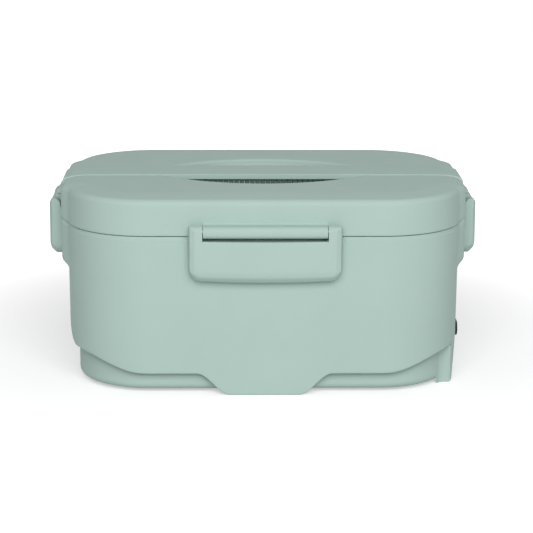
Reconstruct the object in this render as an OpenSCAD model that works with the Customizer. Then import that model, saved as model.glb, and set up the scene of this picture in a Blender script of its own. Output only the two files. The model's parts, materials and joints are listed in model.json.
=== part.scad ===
// Electric lunch box: a heated base, a steel food container with a side-dish tray,
// and a lift-off lid held by four clip latches.
// Millimetres, +Z up, front is -Y, origin at the middle of the base on the table.

/* [Body] */
// Width of the shell at the seam
body_w = 219; // [200:1:250]
// Depth of the shell at the seam
body_d = 165; // [150:1:190]
// Height of the seam between body and lid above the table
body_h = 89; // [84:1:110]
// Corner radius of the shell in plan
corner_r = 46; // [42:1:52]
// Wall of the outer shell
shell_wall = 2.4; // [2:0.1:2.8]
// How far the shell draws in from the seam to the table, on each side
draft = 0.7; // [0:0.1:1.2]
// Running gap between the body and the lid at the seam
seam_gap = 0.4; // [0.2:0.1:0.8]

/* [Lower edge] */
// Half width of the front and back tongues on the table
tongue_half = 18.6; // [12:0.2:24]
// Length over which the edge climbs beside a tongue
tongue_ramp = 18.9; // [14:0.1:22]
// Height of the edge beside the tongues
edge_rise = 12.2; // [8:0.1:14]
// Further climb of the edge round the corners
corner_rise = 9; // [5:0.1:10]
// Further climb of the edge into the side arches
arch_rise = 14; // [11:0.1:15]

/* [Side bosses] */
// How far the side bosses stand out of the wall
boss_out = 4; // [3:0.1:4.6]
// Half length of a boss at its face
boss_half = 36; // [30:0.5:38]
// Length of the ramp at each end of a boss
boss_ramp = 8; // [4:0.5:10]
// Height of the boss below the seam
boss_drop = 26; // [23:0.5:28]
// How much higher the seam runs on a boss
boss_step = 2; // [1:0.1:3.5]

/* [Bottom cover] */
// How far the skirt of the cover stands inside the shell
skirt_in = 5.5; // [5:0.1:6.5]
// Clearance under the cover
skirt_z = 1.8; // [1.4:0.1:3]
// Wall of the cover
cover_wall = 2; // [1.6:0.1:2.4]
// Rounding of the cover's lower edge
cover_round = 4; // [3:0.1:5]
// Height of the cover's wall above the table
cover_h = 38; // [37:0.1:42]
// Place of the inlet housing's ends, in from the shell's front and back
housing_in = 26; // [26:0.5:36]
// How far the housing draws in towards the table
housing_draft = 3.4; // [2:0.1:4]
// Gap between the housing and the arch of the shell
housing_gap = 0.3; // [0.2:0.05:0.6]
// Fillet between the skirt and an end of the housing
housing_fillet = 5; // [3:0.1:6]
// Rounding of the housing's lower edge and of its upright edges
housing_round = 2.4; // [1.6:0.1:2.6]
// Diameter of a rubber foot
foot_d = 12; // [9:0.5:14]
// Place of the feet, in from the shell's side
foot_in_x = 49.5; // [47:0.5:58]
// Place of the feet, in from the shell's front
foot_in_y = 25; // [23:0.5:33]
// Place of the cover screws, in from the shell's side
post_in_x = 31.5; // [29.5:0.5:35]
// Place of the cover screws, in from the shell's front
post_in_y = 37; // [35:0.5:45]

/* [Well] */
// Distance from the shell's outer face to the well's wall
well_in = 12.5; // [12:0.1:14]
// Wall of the well
liner_wall = 1.8; // [1.4:0.1:2]
// Thickness of the well's rim
rim_t = 2; // [1.5:0.1:2.5]
// Depth of the well's rim below the seam
rim_drop = 5; // [4:0.1:7]
// Height of the well's floor above the table, to its underside
well_z = 24; // [22:0.1:26]
// Rounding of the well's floor
well_round = 7; // [5:0.5:9]

/* [Heater] */
// Length of the heating plate
plate_l = 140; // [128:1:148]
// Width of the heating plate
plate_w = 84; // [70:1:100]
// Thickness of the heating plate
plate_t = 2; // [1.5:0.1:3]
// Lip of the well's floor that carries the plate
plate_lip = 6; // [4:0.5:8]
// Length of the heater block
ptc_l = 60; // [40:1:62]
// Width of the heater block
ptc_w = 24; // [16:1:30]
// Height of the heater block
ptc_h = 6; // [4:0.1:7]
// Distance from the middle to a clamp screw
clamp_x = 40; // [38:0.5:42]
// Thickness of the clamp strip
clamp_t = 1.5; // [1:0.1:2]
// Diameter of the thermostat
thermostat_d = 14; // [10:0.5:15]
// Place of the thermostat and of the fuse, from the middle to the side
sensor_x = 53; // [52:0.5:54]
// Diameter of the thermal fuse
fuse_d = 4; // [3:0.1:5]
// Diameter of a wire
wire_d = 2.2; // [1.6:0.1:2.6]

/* [Inlet] */
// Place of the inlet along the side, towards the back
inlet_y = -29.5; // [-32:0.5:-24]
// Height of the inlet's middle above the table
inlet_z = 25.7; // [25:0.1:27]
// Half length of the inlet's bezel
bezel_half = 9.1; // [8.9:0.1:10]
// Half height of the inlet's bezel
bezel_rise = 4.6; // [4.5:0.1:5]
// How far the bezel stands out of the housing
bezel_out = 2.2; // [2:0.1:3]
// Half length of the socket's mouth
socket_half = 7.3; // [7:0.1:7.5]
// Half height of the socket's mouth
socket_rise = 3.2; // [3:0.1:3.3]
// Depth of the socket
socket_depth = 8.4; // [7.5:0.1:8.6]
// Distance between the two contact pins
pin_pitch = 8.6; // [8.4:0.1:8.8]
// Diameter of a contact pin
pin_d = 2.4; // [2:0.1:2.6]

/* [Food container] */
// Thickness of the steel
steel_t = 0.8; // [0.5:0.1:1]
// Clearance between the container and the well
pot_gap = 0.9; // [0.6:0.1:1.2]
// Width of the shoulder that carries the tray
shoulder = 1.8; // [1.4:0.1:2.2]
// Depth of the shoulder below the container's rim
shoulder_drop = 6; // [5:0.1:8]
// Rounding of the container's floor
pot_round = 8; // [6:0.5:10]
// Overhang of the container's rim over the well
pot_rim = 3.6; // [3:0.1:4]
// Depth of the tray below its flange
tray_depth = 21; // [15:0.5:26]
// Wall of the tray
tray_wall = 1.2; // [1:0.1:1.6]
// Clearance between the tray and the container
tray_gap = 0.5; // [0.3:0.1:0.8]
// Place of the tray's divider from the middle
divider_x = 20; // [-30:1:30]

/* [Lid] */
// Height of the lid's wall, from the seam to the flat top
lid_h = 21.4; // [21:0.1:24]
// Wall of the lid
lid_wall = 2.2; // [1.8:0.1:2.4]
// Rounding of the lid's upper edge
lid_round = 4.3; // [4:0.1:5.4]
// Width of the sloping border of the lid's top
margin = 15; // [12:0.5:17]
// Fall of the border from the flat top to the rounded edge
margin_fall = 1.5; // [1:0.1:2.2]
// Half length of the finger recess
recess_x = 65.4; // [56:0.2:66]
// Half width of the finger recess
recess_y = 38.5; // [34:0.5:42]
// Wall of the grip cup
cup_wall = 1.6; // [1.2:0.1:2]
// Height of the panel inside the lid above the seam
panel_rise = 3; // [2.5:0.1:3.5]
// Thickness of the panel inside the lid
panel_t = 2; // [1.5:0.1:2.2]
// Height of the lid seal
seal_h = 3.7; // [3.2:0.1:4]
// Width of the lid seal
seal_w = 3.4; // [2.8:0.1:3.6]

/* [Handle] */
// Half width of the strap
strap_half = 14.8; // [12:0.2:16]
// Thickness of the strap over the recess
strap_t = 2.6; // [2.2:0.1:3]
// How far the strap stands above the lid's flat top
strap_proud = 0.5; // [0.4:0.1:1.2]
// Extra height of the strap at its middle
strap_crown = 0.5; // [0:0.1:1]
// Thickness of the ribbed pad under the strap
pad_t = 3.8; // [3:0.1:5]
// Spacing of the pad's ribs
rib_pitch = 3; // [2.6:0.1:4]
// Width of a rib of the pad
rib_w = 1.8; // [1.2:0.1:2.2]
// Place of a strap screw, in from the shell's side
strap_screw_in = 29.5; // [25.5:0.5:35]
// Place of the panel screws, in from the shell's side
panel_in_x = 25.5; // [23.5:0.5:29]
// Place of the panel screws, in from the shell's front
panel_in_y = 41; // [37:0.5:47]

/* [Latches] */
// Half width of the front and back latches
latch_half = 40.5; // [36:0.5:42]
// Half width of the side latches
side_latch_half = 21; // [18:0.5:25]
// How far a latch stands out of the face behind it
latch_out = 7.8; // [7.2:0.1:8.2]
// Drop of the front and back latches below the seam
latch_drop = 24.4; // [22:0.1:26]
// Drop of the side latches below the seam on the bosses
side_latch_drop = 25.3; // [24:0.1:26.5]
// Width of a latch's arm
arm_w = 6.6; // [5:0.1:7.5]
// Thickness of a latch's plate
latch_wall = 2.2; // [1.8:0.1:2.4]
// Corner radius of a latch
latch_r = 6; // [4:0.1:8]
// Width of the bevel round a latch
bevel = 2.4; // [1.6:0.1:3]
// Height of a latch's hinge axis above the seam
hinge_rise = 4; // [3.8:0.1:4.4]
// Radius of a latch's arm round its hinge
arm_r = 3.1; // [2.8:0.1:3.2]
// Radius of the hinge barrel on the lid
barrel_r = 2.8; // [2.4:0.1:2.9]
// Diameter of a hinge pin
hinge_pin_d = 2; // [1.6:0.1:2.4]
// Radial running clearance of a hinge pin
pin_play = 0.05; // [0.03:0.01:0.08]
// Gap between an arm and the barrel, and between a latch and the wall
latch_gap = 0.6; // [0.4:0.05:0.8]
// How far the catch rib stands out of the body
catch_out = 2.4; // [2:0.1:2.6]
// Free play between the catch rib and the latch's ridge
catch_gap = 0.25; // [0.2:0.05:0.4]

/* [Hidden] */
$fn = 96;

// Overlap of solids that are joined
eps = 0.01;
// Two millimetres past a face, so that a cut goes clean through
over = 2;
hx = body_w / 2;
hy = body_d / 2;
housing_half = hy - housing_in;
foot_x = hx - foot_in_x;
foot_y = hy - foot_in_y;
post_x = hx - post_in_x;
post_y = hy - post_in_y;
strap_screw_x = hx - strap_screw_in;
panel_screw_x = hx - panel_in_x;
panel_screw_y = hy - panel_in_y;
// Points along a rounding and along a climb of the lower edge
arc_steps = 6;
edge_steps = 8;

// Levels of the well
rim_top = body_h - rim_drop;
ledge_z = rim_top - rim_t;
// Ledge of the shell that carries the well, and how deep it is let into the wall
ledge_w = 4;
let_in = 0.4;
well_floor = well_z + liner_wall;
plate_top = well_floor + plate_t;
// Gap between the container's floor and the plate
seat_gap = 0.2;
pot_z = plate_top + seat_gap;
heater_top = well_floor;
heater_z = heater_top - ptc_h;

// Inset of each ring from the shell's outer face
rim_fit = 0.4;
liner_in = shell_wall + rim_fit;
well_inner = well_in + liner_wall;
pot_in = well_inner + pot_gap;
tray_in = pot_in + shoulder + steel_t + tray_gap;

// Cover screws, the posts they run into and the pads under their heads
screw_r = 1.45;
screw_bore_r = 1.5;
head_r = 3.4;
head_h = 2;
post_r = 4;
pad_r = 5.5;
pad_h = 5;
sink = 2.2;
screw_len = 12;

// Small screws: shank, tapped bore, free hole and the boss round a bore
small_r = 1.25;
small_bore_r = 1.3;
small_hole_r = 1.6;
small_boss_r = 3.5;
small_head_r = 3;
small_head_h = 1.7;

// Rubber feet: neck in the cover and barb above it
neck_r = 2.2;
barb_r = 3;
barb_h = 1.5;

// Rib of the shell over the cover's wall
stop_in = skirt_in + cover_wall + 0.6;
stop_t = 2.4;

// Lower edge of the shell
corner_lead = 2.5;
edge_start = hx - corner_r + corner_lead;
edge_end = hx - 3.5;
arch_lead = 20.5;
arch_start = hy - corner_r + arch_lead;
arch_ramp = 25;
arch_inset = 9;
arch_top = edge_rise + corner_rise + arch_rise;

// Bosses on the side walls
boss_x = hx + boss_out;
boss_seam = body_h + boss_step;
boss_z = body_h - boss_drop;
// Gap in plan between a body's boss and the lid round it
boss_gap = 0.3;
// Height over which the foot of a boss curves out of the wall
boss_foot = 4.7;

// Shoulder of the bosses, and of the strap over them: distance in from the face, fall below the
// lid's top; then its rounding down to the face
shoulder_lead = [[9, 0.2], [3, 4.6]];
shoulder_r = 3;
shoulder_turn = 75;
// Underside of the strap's ends: wall at the face, height of its corners below the lid's top
strap_end_t = 2.8;
strap_inner = [[5.5, 3.3], [0, 6.2]];
// How far the strap's ends stand out of the bosses, and their flare above the side hinges:
// distance out of the boss, height above the tail
strap_out = 1;
flare = [[1, 3], [2.6, 2.6], [3.6, 1.6], [4.1, 0]];
// Hood that carries the flare on into a side hinge: distance out of the boss, height above the axis
hood = [[4.2, 4.8], [4.6, 3.6], [6.5, 2.1]];
// Gap between the strap's ends and the hoods
tail_gap = 0.3;
// Fall of the strap's crown, and the length over which it runs out towards the bosses
crown_fall = 0.6;
crown_run = 35;

// Levels of the lid
lid_z = body_h + seam_gap;
lid_top = body_h + lid_h;
top_under = lid_top - lid_wall;
panel_z = body_h + panel_rise;
seal_z = rim_top + steel_t;
seal_top = seal_z + seal_h;
recess_r = (recess_x * recess_x + recess_y * recess_y) / (2 * recess_y);
recess_off = recess_r - recess_y;
strap_under = lid_top + strap_proud + strap_crown - strap_t;

// Boss and screw of the strap, its ribbed pad, and the panel's screws
strap_boss_r = 3;
strap_head_r = 4.4;
strap_screw_len = 2.6;
pad_half = 50;
panel_screw_len = 10;

// Latches, in the frame of the wall behind each one
axis_out = latch_out - arm_r;
axis_z = hinge_rise;
catch_top = -4;
catch_h = 2;
ridge_h = 2.4;
ridge_gap = 0.3;
// Turned-in lower edge of a latch: distance in from its face, height above its lower end
chin = [[0, 6], [0.6, 3], [3.4, 0]];
// Lower ends of an arm, at the plate and at the wall
arm_root = 6;
arm_foot = 2;
bevel_in = 1.4;
// Solid end of a latch beyond its pin's blind bore, and the pin's end play
blind = 1.6;
end_play = 0.2;

function latch_width(i) = i % 2 == 1 ? side_latch_half : latch_half;
function latch_length(i) = i % 2 == 1 ? side_latch_drop : latch_drop;

function smooth(t) = (1 - cos(180 * min(max(t, 0), 1))) / 2;
function arc(cx, cy, r, a, b) =
  [for (i = [0:arc_steps]) let (t = a + (b - a) * i / arc_steps) [cx + r * cos(t), cy + r * sin(t)]];
function steps(a, b) = [for (i = [0:edge_steps]) a + (b - a) * i / edge_steps];
function mirrored(list) = concat([for (i = [len(list) - 1:-1:0]) -list[i]], list);

// Height of the shell's lower edge across the width, and along a side
function edge_z(x) = edge_rise * smooth((abs(x) - tongue_half) / tongue_ramp)
  + corner_rise * smooth((abs(x) - edge_start) / (edge_end - edge_start));
function arch_z(y) = arch_top - arch_rise * (1 - smooth((arch_start - abs(y)) / arch_ramp));

// Carries a profile (distance out of the corner's centre, height) round a rounded rectangle
module ring(half_x, half_y, r) {
  for (i = [0:3]) {
    out = i % 2 == 0 ? half_x : half_y;
    along = i % 2 == 0 ? half_y : half_x;
    rotate(90 * i) translate([out - r, along - r, 0]) {
      rotate([90, 0, 0]) linear_extrude(2 * (along - r)) children();
      rotate_extrude(angle = 90) children();
    }
  }
}

// A ring at an inset from the shell's outline: its profile's zero is the outline moved in by inset
module inset_ring(inset) {
  ring(hx - inset, hy - inset, corner_r - inset) translate([corner_r - inset, 0]) children();
}

// A flat rounded rectangle at an inset from the shell's outline
module slab(inset, z, t) {
  r = corner_r - inset;
  translate([0, 0, z]) {
    translate([-(hx - inset - r), -(hy - inset), 0]) cube([2 * (hx - inset - r), 2 * (hy - inset), t]);
    translate([-(hx - inset), -(hy - inset - r), 0]) cube([2 * (hx - inset), 2 * (hy - inset - r), t]);
    for (x = [-1, 1], y = [-1, 1]) translate([x * (hx - inset - r), y * (hy - inset - r), 0])
      cylinder(r = r, h = t);
  }
}

// Stands its children on the wall behind latch i: outward is -Y, zero height is the seam there
module on_wall(i) {
  side = i % 2 == 1;
  rotate(90 * i)
    translate([0, side ? -boss_x : -hy, side ? boss_seam : body_h]) children();
}

module at_four(x, y) {
  for (sx = [-1, 1], sy = [-1, 1]) translate([sx * x, sy * y, 0]) children();
}

// A bar with round ends, lying along Y and pushed out along X
module stadium(half, rise, from, to) {
  translate([from, 0, 0]) rotate([90, 0, 90]) linear_extrude(to - from) {
    square([2 * (half - rise), 2 * rise], center = true);
    for (s = [-1, 1]) translate([s * (half - rise), 0]) circle(r = rise);
  }
}

// A round tube along a curve through four control points, its sides turned to face up
function bezier(p, t) = pow(1 - t, 3) * p[0] + 3 * t * pow(1 - t, 2) * p[1]
  + 3 * t * t * (1 - t) * p[2] + pow(t, 3) * p[3];
function unit(v) = v / norm(v);
module wire(p, up, n = 14, sides = 8) {
  pts = [for (i = [0:n]) bezier(p, i / n)];
  rings = [for (i = [0:n])
    let (t = unit(pts[min(i + 1, n)] - pts[max(i - 1, 0)]), u = unit(cross(up, t)), v = cross(t, u))
    for (k = [0:sides - 1]) pts[i] + wire_d / 2 * (cos(360 * k / sides) * u + sin(360 * k / sides) * v)];
  walls = [for (i = [0:n - 1], k = [0:sides - 1])
    let (a = i * sides + k, b = i * sides + (k + 1) % sides) [a, a + sides, b + sides, b]];
  polyhedron(rings, concat(walls, [[for (k = [0:sides - 1]) k],
    [for (k = [sides - 1:-1:0]) n * sides + k]]));
}

// ---- Base ----

// Everything under the wavy lower edge
module under_edge() {
  reach = boss_x + over;
  xs = mirrored(concat([0], steps(tongue_half, tongue_half + tongue_ramp), steps(edge_start, edge_end),
    [reach]));
  rotate([90, 0, 0]) translate([0, 0, -hy - over]) linear_extrude(2 * (hy + over))
    polygon(concat([for (x = xs) [x, edge_z(x)]], [[reach, -over], [-reach, -over]]));
}

// Everything under the arch on one side
module under_arch(side, gap, inset = arch_inset) {
  ys = mirrored(concat([0], steps(arch_start - arch_ramp, arch_start)));
  translate([side * (hx - inset / 2 + over), 0, 0]) rotate([90, 0, 90])
    translate([0, 0, -inset / 2 - over / 2]) linear_extrude(inset + over)
    polygon(concat([for (y = ys) [y, arch_z(y) - gap]], [[arch_start, -over], [-arch_start, -over]]));
}

// Shell's outer face at a place along the side
function outline_x(y) = hx - corner_r + sqrt(pow(corner_r, 2) - pow(max(0, abs(y) - hy + corner_r), 2));

// Plan of a side boss: full height at its face, with a ramp at each end that runs into the shell's
// wall, rooted in that wall or further in; a cut for it is grown all round
module boss_plan(z, t, grow = 0, root_in = shell_wall / 2) {
  half = boss_half + grow;
  reach = half + boss_ramp;
  edge = outline_x(boss_half + boss_ramp);
  foot = grow > 0 ? edge + grow : edge - let_in;
  root = min(edge - shell_wall / 2, hx - root_in) - grow;
  straight = hy - corner_r;
  translate([0, 0, z]) linear_extrude(t)
    polygon([[root, -reach], [foot, -reach], [boss_x + grow, -half], [boss_x + grow, half], [foot, reach],
      [root, reach], [hx - root_in - grow, straight], [hx - root_in - grow, -straight]]);
}

module body_boss() {
  root = hx - corner_r;
  intersection() {
    boss_plan(boss_z - over, boss_drop + boss_step + over);
    rotate([90, 0, 0]) translate([0, 0, -hy]) linear_extrude(body_d)
      polygon(concat([[root, boss_z], [hx - draft, boss_z]],
        [for (i = [1:arc_steps]) let (t = 90 * i / arc_steps)
          [hx - draft + (boss_out + draft) * sin(t), boss_z + boss_foot * i / arc_steps]],
        [[boss_x, boss_seam], [root, boss_seam]]));
  }
}

module catch_rib(i) {
  half = latch_width(i) - arm_w - 2 * over;
  on_wall(i) translate([-half, -catch_out, catch_top - catch_h])
    cube([2 * half, catch_out + shell_wall / 2, catch_h]);
}

module outer_shell() color([0.7, 0.79, 0.76]) {
  root = let_in - shell_wall;
  ledge = -shell_wall - ledge_w;
  difference() {
    union() {
      inset_ring(0) polygon([[-draft, 0], [0, body_h], [-shell_wall, body_h], [-shell_wall - draft, 0]]);
      inset_ring(0) polygon([[root, ledge_z - 2 * ledge_w], [ledge, ledge_z - ledge_w], [ledge, ledge_z],
        [root, ledge_z]]);
      inset_ring(0) translate([-stop_in, cover_h]) square([stop_in - shell_wall, stop_t]);
      body_boss();
      mirror([1, 0, 0]) body_boss();
      for (i = [0:3]) catch_rib(i);
    }
    under_edge();
    for (s = [-1, 1]) under_arch(s, 0);
  }
}

// Outer face of the inlet housing at a height
function housing_x(z) = hx - draft / 2 - housing_draft * (1 - z / arch_top);

// Skirt's middle surface at a distance from the front, and the housing's plan: a block with round
// corners and a fillet that starts inside the skirt's wall at each end
function skirt_x(y, grow) = hx - corner_r
  + sqrt(pow(corner_r - skirt_in + grow, 2) - pow(y - hy + corner_r, 2));
module housing_plan() {
  f = housing_fillet;
  r = housing_round;
  mid = -cover_wall / 2;
  out = min(outline_x(housing_half - r) - draft / 2, housing_x(0));
  centre = [skirt_x(housing_half + f, f), housing_half + f];
  turn = atan2(centre[1] - hy + corner_r, centre[0] - hx + corner_r);
  foot = [hx - corner_r, hy - corner_r] + (corner_r - skirt_in + mid) * [cos(turn), sin(turn)];
  half = concat([[hx, housing_half - r]], arc(out - r, housing_half - r, r, 0, 90),
    arc(centre[0], centre[1], f, -90, turn - 180),
    [foot, [skirt_x(housing_half, mid), housing_half], [skirt_x(hy - corner_r, mid), hy - corner_r]]);
  polygon(concat(half, [for (i = [len(half) - 1:-1:0]) [half[i][0], -half[i][1]]]));
}

module inlet_housing() {
  r = housing_round;
  root = hx - corner_r;
  reach = housing_half + housing_fillet;
  intersection() {
    linear_extrude(arch_top) housing_plan();
    rotate([90, 0, 0]) translate([0, 0, -reach]) linear_extrude(2 * reach)
      polygon(concat([[root, 0]], arc(housing_x(0) - r, r, r, -90, 0),
        [[housing_x(arch_top), arch_top], [root, arch_top]]));
    union() {
      under_arch(1, housing_gap, hx - root);
      translate([root, -reach, 0]) cube([hx - root, 2 * reach, arch_z(arch_start) - housing_gap]);
    }
    slab(draft / 2, 0, arch_top);
  }
}

module bottom_cover() color([0.68, 0.77, 0.74]) {
  c = cover_round;
  difference() {
    union() {
      inset_ring(skirt_in) polygon(concat(
        [[-c, skirt_z + cover_wall], [-c, skirt_z]],
        arc(-c, skirt_z + c, c, -90, 0),
        [[0, cover_h], [-cover_wall, cover_h]],
        arc(-c, skirt_z + c, c - cover_wall, 0, -90)));
      slab(skirt_in + c, skirt_z, cover_wall);
      inlet_housing();
      at_four(post_x, post_y) translate([0, 0, skirt_z]) cylinder(r = pad_r, h = pad_h);
    }
    at_four(post_x, post_y) {
      translate([0, 0, skirt_z - over]) cylinder(r = head_r + 0.4, h = sink + over);
      cylinder(r = screw_r + 0.3, h = skirt_z + pad_h + over);
    }
    at_four(foot_x, foot_y) translate([0, 0, skirt_z - over])
      cylinder(r = neck_r + 0.1, h = cover_wall + 2 * over);
    translate([0, inlet_y, inlet_z]) {
      stadium(bezel_half + inlet_fit, bezel_rise + inlet_fit, bezel_back, hx + over);
      stadium(bezel_half - bezel_ledge + inlet_fit, bezel_rise - bezel_ledge + inlet_fit,
        hx - skirt_in - cover_wall - over, hx + over);
    }
  }
}

module rubber_feet() color([0.16, 0.17, 0.17]) at_four(foot_x, foot_y) {
  cylinder(d = foot_d, h = skirt_z);
  cylinder(r = neck_r, h = skirt_z + cover_wall);
  translate([0, 0, skirt_z + cover_wall]) cylinder(r1 = barb_r, r2 = barb_r - 1, h = barb_h);
}

module screw(head_radius, head_height, shank_r, len) {
  translate([0, 0, -head_height]) cylinder(r = head_radius, h = head_height);
  cylinder(r = shank_r, h = len);
}

module cover_screws() color([0.7, 0.7, 0.72]) at_four(post_x, post_y) {
  translate([0, 0, skirt_z + sink]) screw(head_r, head_h, screw_r, screw_len);
}

module well_liner() color([0.86, 0.88, 0.87]) {
  r = well_round;
  hole_l = plate_l / 2 - plate_lip;
  hole_w = plate_w / 2 - plate_lip;
  difference() {
    union() {
      inset_ring(well_in) polygon(concat(
        [[-r, well_floor], [-r, well_z]],
        arc(-r, well_z + r, r, -90, 0),
        [[0, ledge_z], [well_in - liner_in, ledge_z], [well_in - liner_in, rim_top], [-liner_wall, rim_top]],
        arc(-r, well_z + r, r - liner_wall, 0, -90)));
      slab(well_in + r, well_z, liner_wall);
      at_four(post_x, post_y) translate([0, 0, skirt_z + pad_h])
        cylinder(r = post_r, h = well_z - skirt_z - pad_h + eps);
    }
    translate([-hole_l, -hole_w, well_z - over]) cube([2 * hole_l, 2 * hole_w, liner_wall + 2 * over]);
    at_four(post_x, post_y) translate([0, 0, skirt_z + pad_h - over])
      cylinder(r = screw_bore_r, h = screw_len);
  }
}

module heating_plate() color([0.78, 0.79, 0.8]) difference() {
  union() {
    translate([-plate_l / 2, -plate_w / 2, well_floor]) cube([plate_l, plate_w, plate_t]);
    for (s = [-1, 1]) translate([s * clamp_x, 0, heater_z]) cylinder(r = small_boss_r, h = ptc_h + eps);
  }
  for (s = [-1, 1]) translate([s * clamp_x, 0, heater_z - over])
    cylinder(r = small_bore_r, h = ptc_h + over - 0.5);
}

module heater_block() color([0.82, 0.8, 0.74])
  translate([-ptc_l / 2, -ptc_w / 2, heater_z]) cube([ptc_l, ptc_w, ptc_h]);

module heater_clamp() color([0.66, 0.67, 0.69]) difference() {
  width = 12;
  past = 5;
  translate([-clamp_x - past, -width / 2, heater_z - clamp_t]) cube([2 * (clamp_x + past), width, clamp_t]);
  for (s = [-1, 1]) translate([s * clamp_x, 0, heater_z - over]) cylinder(r = small_hole_r, h = 2 * over);
}

module clamp_screws() color([0.7, 0.7, 0.72]) for (s = [-1, 1])
  translate([s * clamp_x, 0, heater_z - clamp_t]) screw(small_head_r, small_head_h, small_r, ptc_h);

// Thermostat's blades, fuse and its lead
thermostat_h = 5;
blade_t = 0.8;
blade_w = 3;
blade_y = 4;
blade_h = 4;
fuse_len = 11;
fuse_z = heater_top - fuse_d / 2;
lead_d = 1;
lead_half = 12;

module thermostat() color([0.2, 0.2, 0.21]) translate([sensor_x, 0, heater_top - thermostat_h]) {
  cylinder(d = thermostat_d, h = thermostat_h);
  for (s = [-1, 1]) translate([-blade_t / 2, s * blade_y - blade_w / 2, -blade_h])
    cube([blade_t, blade_w, blade_h + eps]);
}

// The fuse and, through it, its lead
module thermal_fuse() color([0.85, 0.85, 0.82]) translate([-sensor_x, 0, fuse_z]) rotate([90, 0, 0]) {
  cylinder(d = fuse_d, h = fuse_len, center = true);
  cylinder(d = lead_d, h = 2 * lead_half, center = true);
}

module fuse_clip() color([0.66, 0.67, 0.69]) difference() {
  width = 5;
  wall = 1;
  translate([-sensor_x - fuse_d / 2 - wall, -width / 2, heater_top - fuse_d - wall])
    cube([fuse_d + 2 * wall, width, fuse_d + wall]);
  translate([-sensor_x, 0, fuse_z]) rotate([90, 0, 0])
    cylinder(d = fuse_d + 2 * eps, h = width + over, center = true);
}

// Levels of the inlet along X: the bezel is let into the housing
bezel_back = housing_x(inlet_z) - 1.1;
bezel_front = housing_x(inlet_z) + bezel_out;
inlet_rear = hx - skirt_in - cover_wall - 1.5;
inlet_fit = 0.2;
bezel_ledge = 0.7;
bezel_step = 1.2;
bezel_lip = 0.5;
pin_tip = bezel_front - 1.6;
pin_tab = 0.8;
pin_tail = 8;

module ac_inlet() color([0.07, 0.07, 0.08]) translate([0, inlet_y, inlet_z]) difference() {
  union() {
    stadium(bezel_half, bezel_rise, bezel_back, bezel_front - bezel_step);
    stadium(bezel_half - bezel_lip, bezel_rise - bezel_lip, bezel_back, bezel_front);
    stadium(bezel_half - bezel_ledge, bezel_rise - bezel_ledge, inlet_rear, bezel_back + eps);
  }
  stadium(socket_half, socket_rise, bezel_front - socket_depth, bezel_front + over);
  for (s = [-1, 1]) translate([inlet_rear - over, s * pin_pitch / 2, 0]) rotate([0, 90, 0])
    cylinder(d = pin_d, h = socket_depth + over);
}

module inlet_pin(s) color([0.83, 0.7, 0.4]) translate([inlet_rear, inlet_y + s * pin_pitch / 2, inlet_z]) {
  rotate([0, 90, 0]) cylinder(d = pin_d, h = pin_tip - inlet_rear);
  translate([-pin_tab, -pin_d / 2, -pin_tail]) cube([pin_tab, pin_d, pin_tail + pin_d / 2]);
}
module inlet_pin_live() inlet_pin(1);
module inlet_pin_neutral() inlet_pin(-1);

// Ends of the wires, on the pins' tabs, the thermostat's blades, the fuse's leads and the heater block
tab_x = inlet_rear - pin_tab - wire_d / 2;
tab_z = inlet_z - pin_tail + wire_d / 2;
live_y = inlet_y + pin_pitch / 2;
neutral_y = inlet_y - pin_pitch / 2;
blade_end = heater_top - thermostat_h - blade_h + wire_d / 2;
blade_side = blade_t / 2 + wire_d / 2 + 0.1;
lead_x = lead_d / 2 + wire_d / 2 + 0.1 - sensor_x;
lead_z = fuse_z - lead_d / 2;
block_end = ptc_l / 2 - 6;
block_side = -(ptc_w + wire_d) / 2;
block_z = heater_z + ptc_h / 2;
// How far a wire runs on from its end, how far it swings aside, and the height at which it lies
wire_run = 15;
wire_aside = 29;
wire_low = 9;
wire_high = 12;
// Direction that a wire's tube is turned towards, clear of its own line
tilted = [0, 0.3, 1];

module wire_live() color([0.55, 0.2, 0.16]) wire([[tab_x, live_y, tab_z],
  [tab_x - wire_run, live_y, wire_low], [sensor_x + wire_run, -wire_run, wire_high],
  [sensor_x + blade_side, -blade_y, blade_end]], [0, 1, 0.2]);
module wire_link() color([0.55, 0.2, 0.16]) wire([[sensor_x - blade_side, blade_y, blade_end],
  [sensor_x - 2 * wire_run, wire_aside, wire_low], [2 * wire_run - sensor_x, wire_aside, wire_low],
  [lead_x, lead_half, lead_z]], tilted);
module wire_heater() color([0.55, 0.2, 0.16]) wire([[lead_x, -lead_half, lead_z],
  [wire_run - sensor_x, -wire_aside, wire_high], [-block_end, -wire_aside, wire_high],
  [-block_end, block_side, block_z]], tilted);
module wire_neutral() color([0.2, 0.3, 0.55]) wire([[tab_x, neutral_y, tab_z],
  [tab_x - wire_run, neutral_y, wire_low], [block_end + 2 * wire_run, -wire_aside, wire_low],
  [block_end, block_side, block_z]], tilted);

// ---- Food container and tray ----

// Shoulder of the container, where the tray's flange rests
step_z = rim_top + steel_t - shoulder_drop;
tray_round = 6;
tray_lip = 1.5;
tray_floor = step_z - tray_depth;
flange_gap = 0.3;
// How far the divider stays below the tray's flange
divider_low = 3;

module food_container() color([0.8, 0.81, 0.82]) {
  low = -shoulder;
  r = pot_round;
  inset_ring(pot_in) polygon(concat(
    [[low - r, pot_z + steel_t], [low - r, pot_z]],
    arc(low - r, pot_z + r, r, -90, 0),
    [[low, step_z - steel_t], [0, step_z - steel_t], [0, rim_top], [pot_rim, rim_top],
      [pot_rim, rim_top + steel_t], [-steel_t, rim_top + steel_t], [-steel_t, step_z],
      [low - steel_t, step_z]],
    arc(low - r, pot_z + r, r - steel_t, 0, -90)));
  slab(pot_in + shoulder + r, pot_z, steel_t);
}

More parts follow.
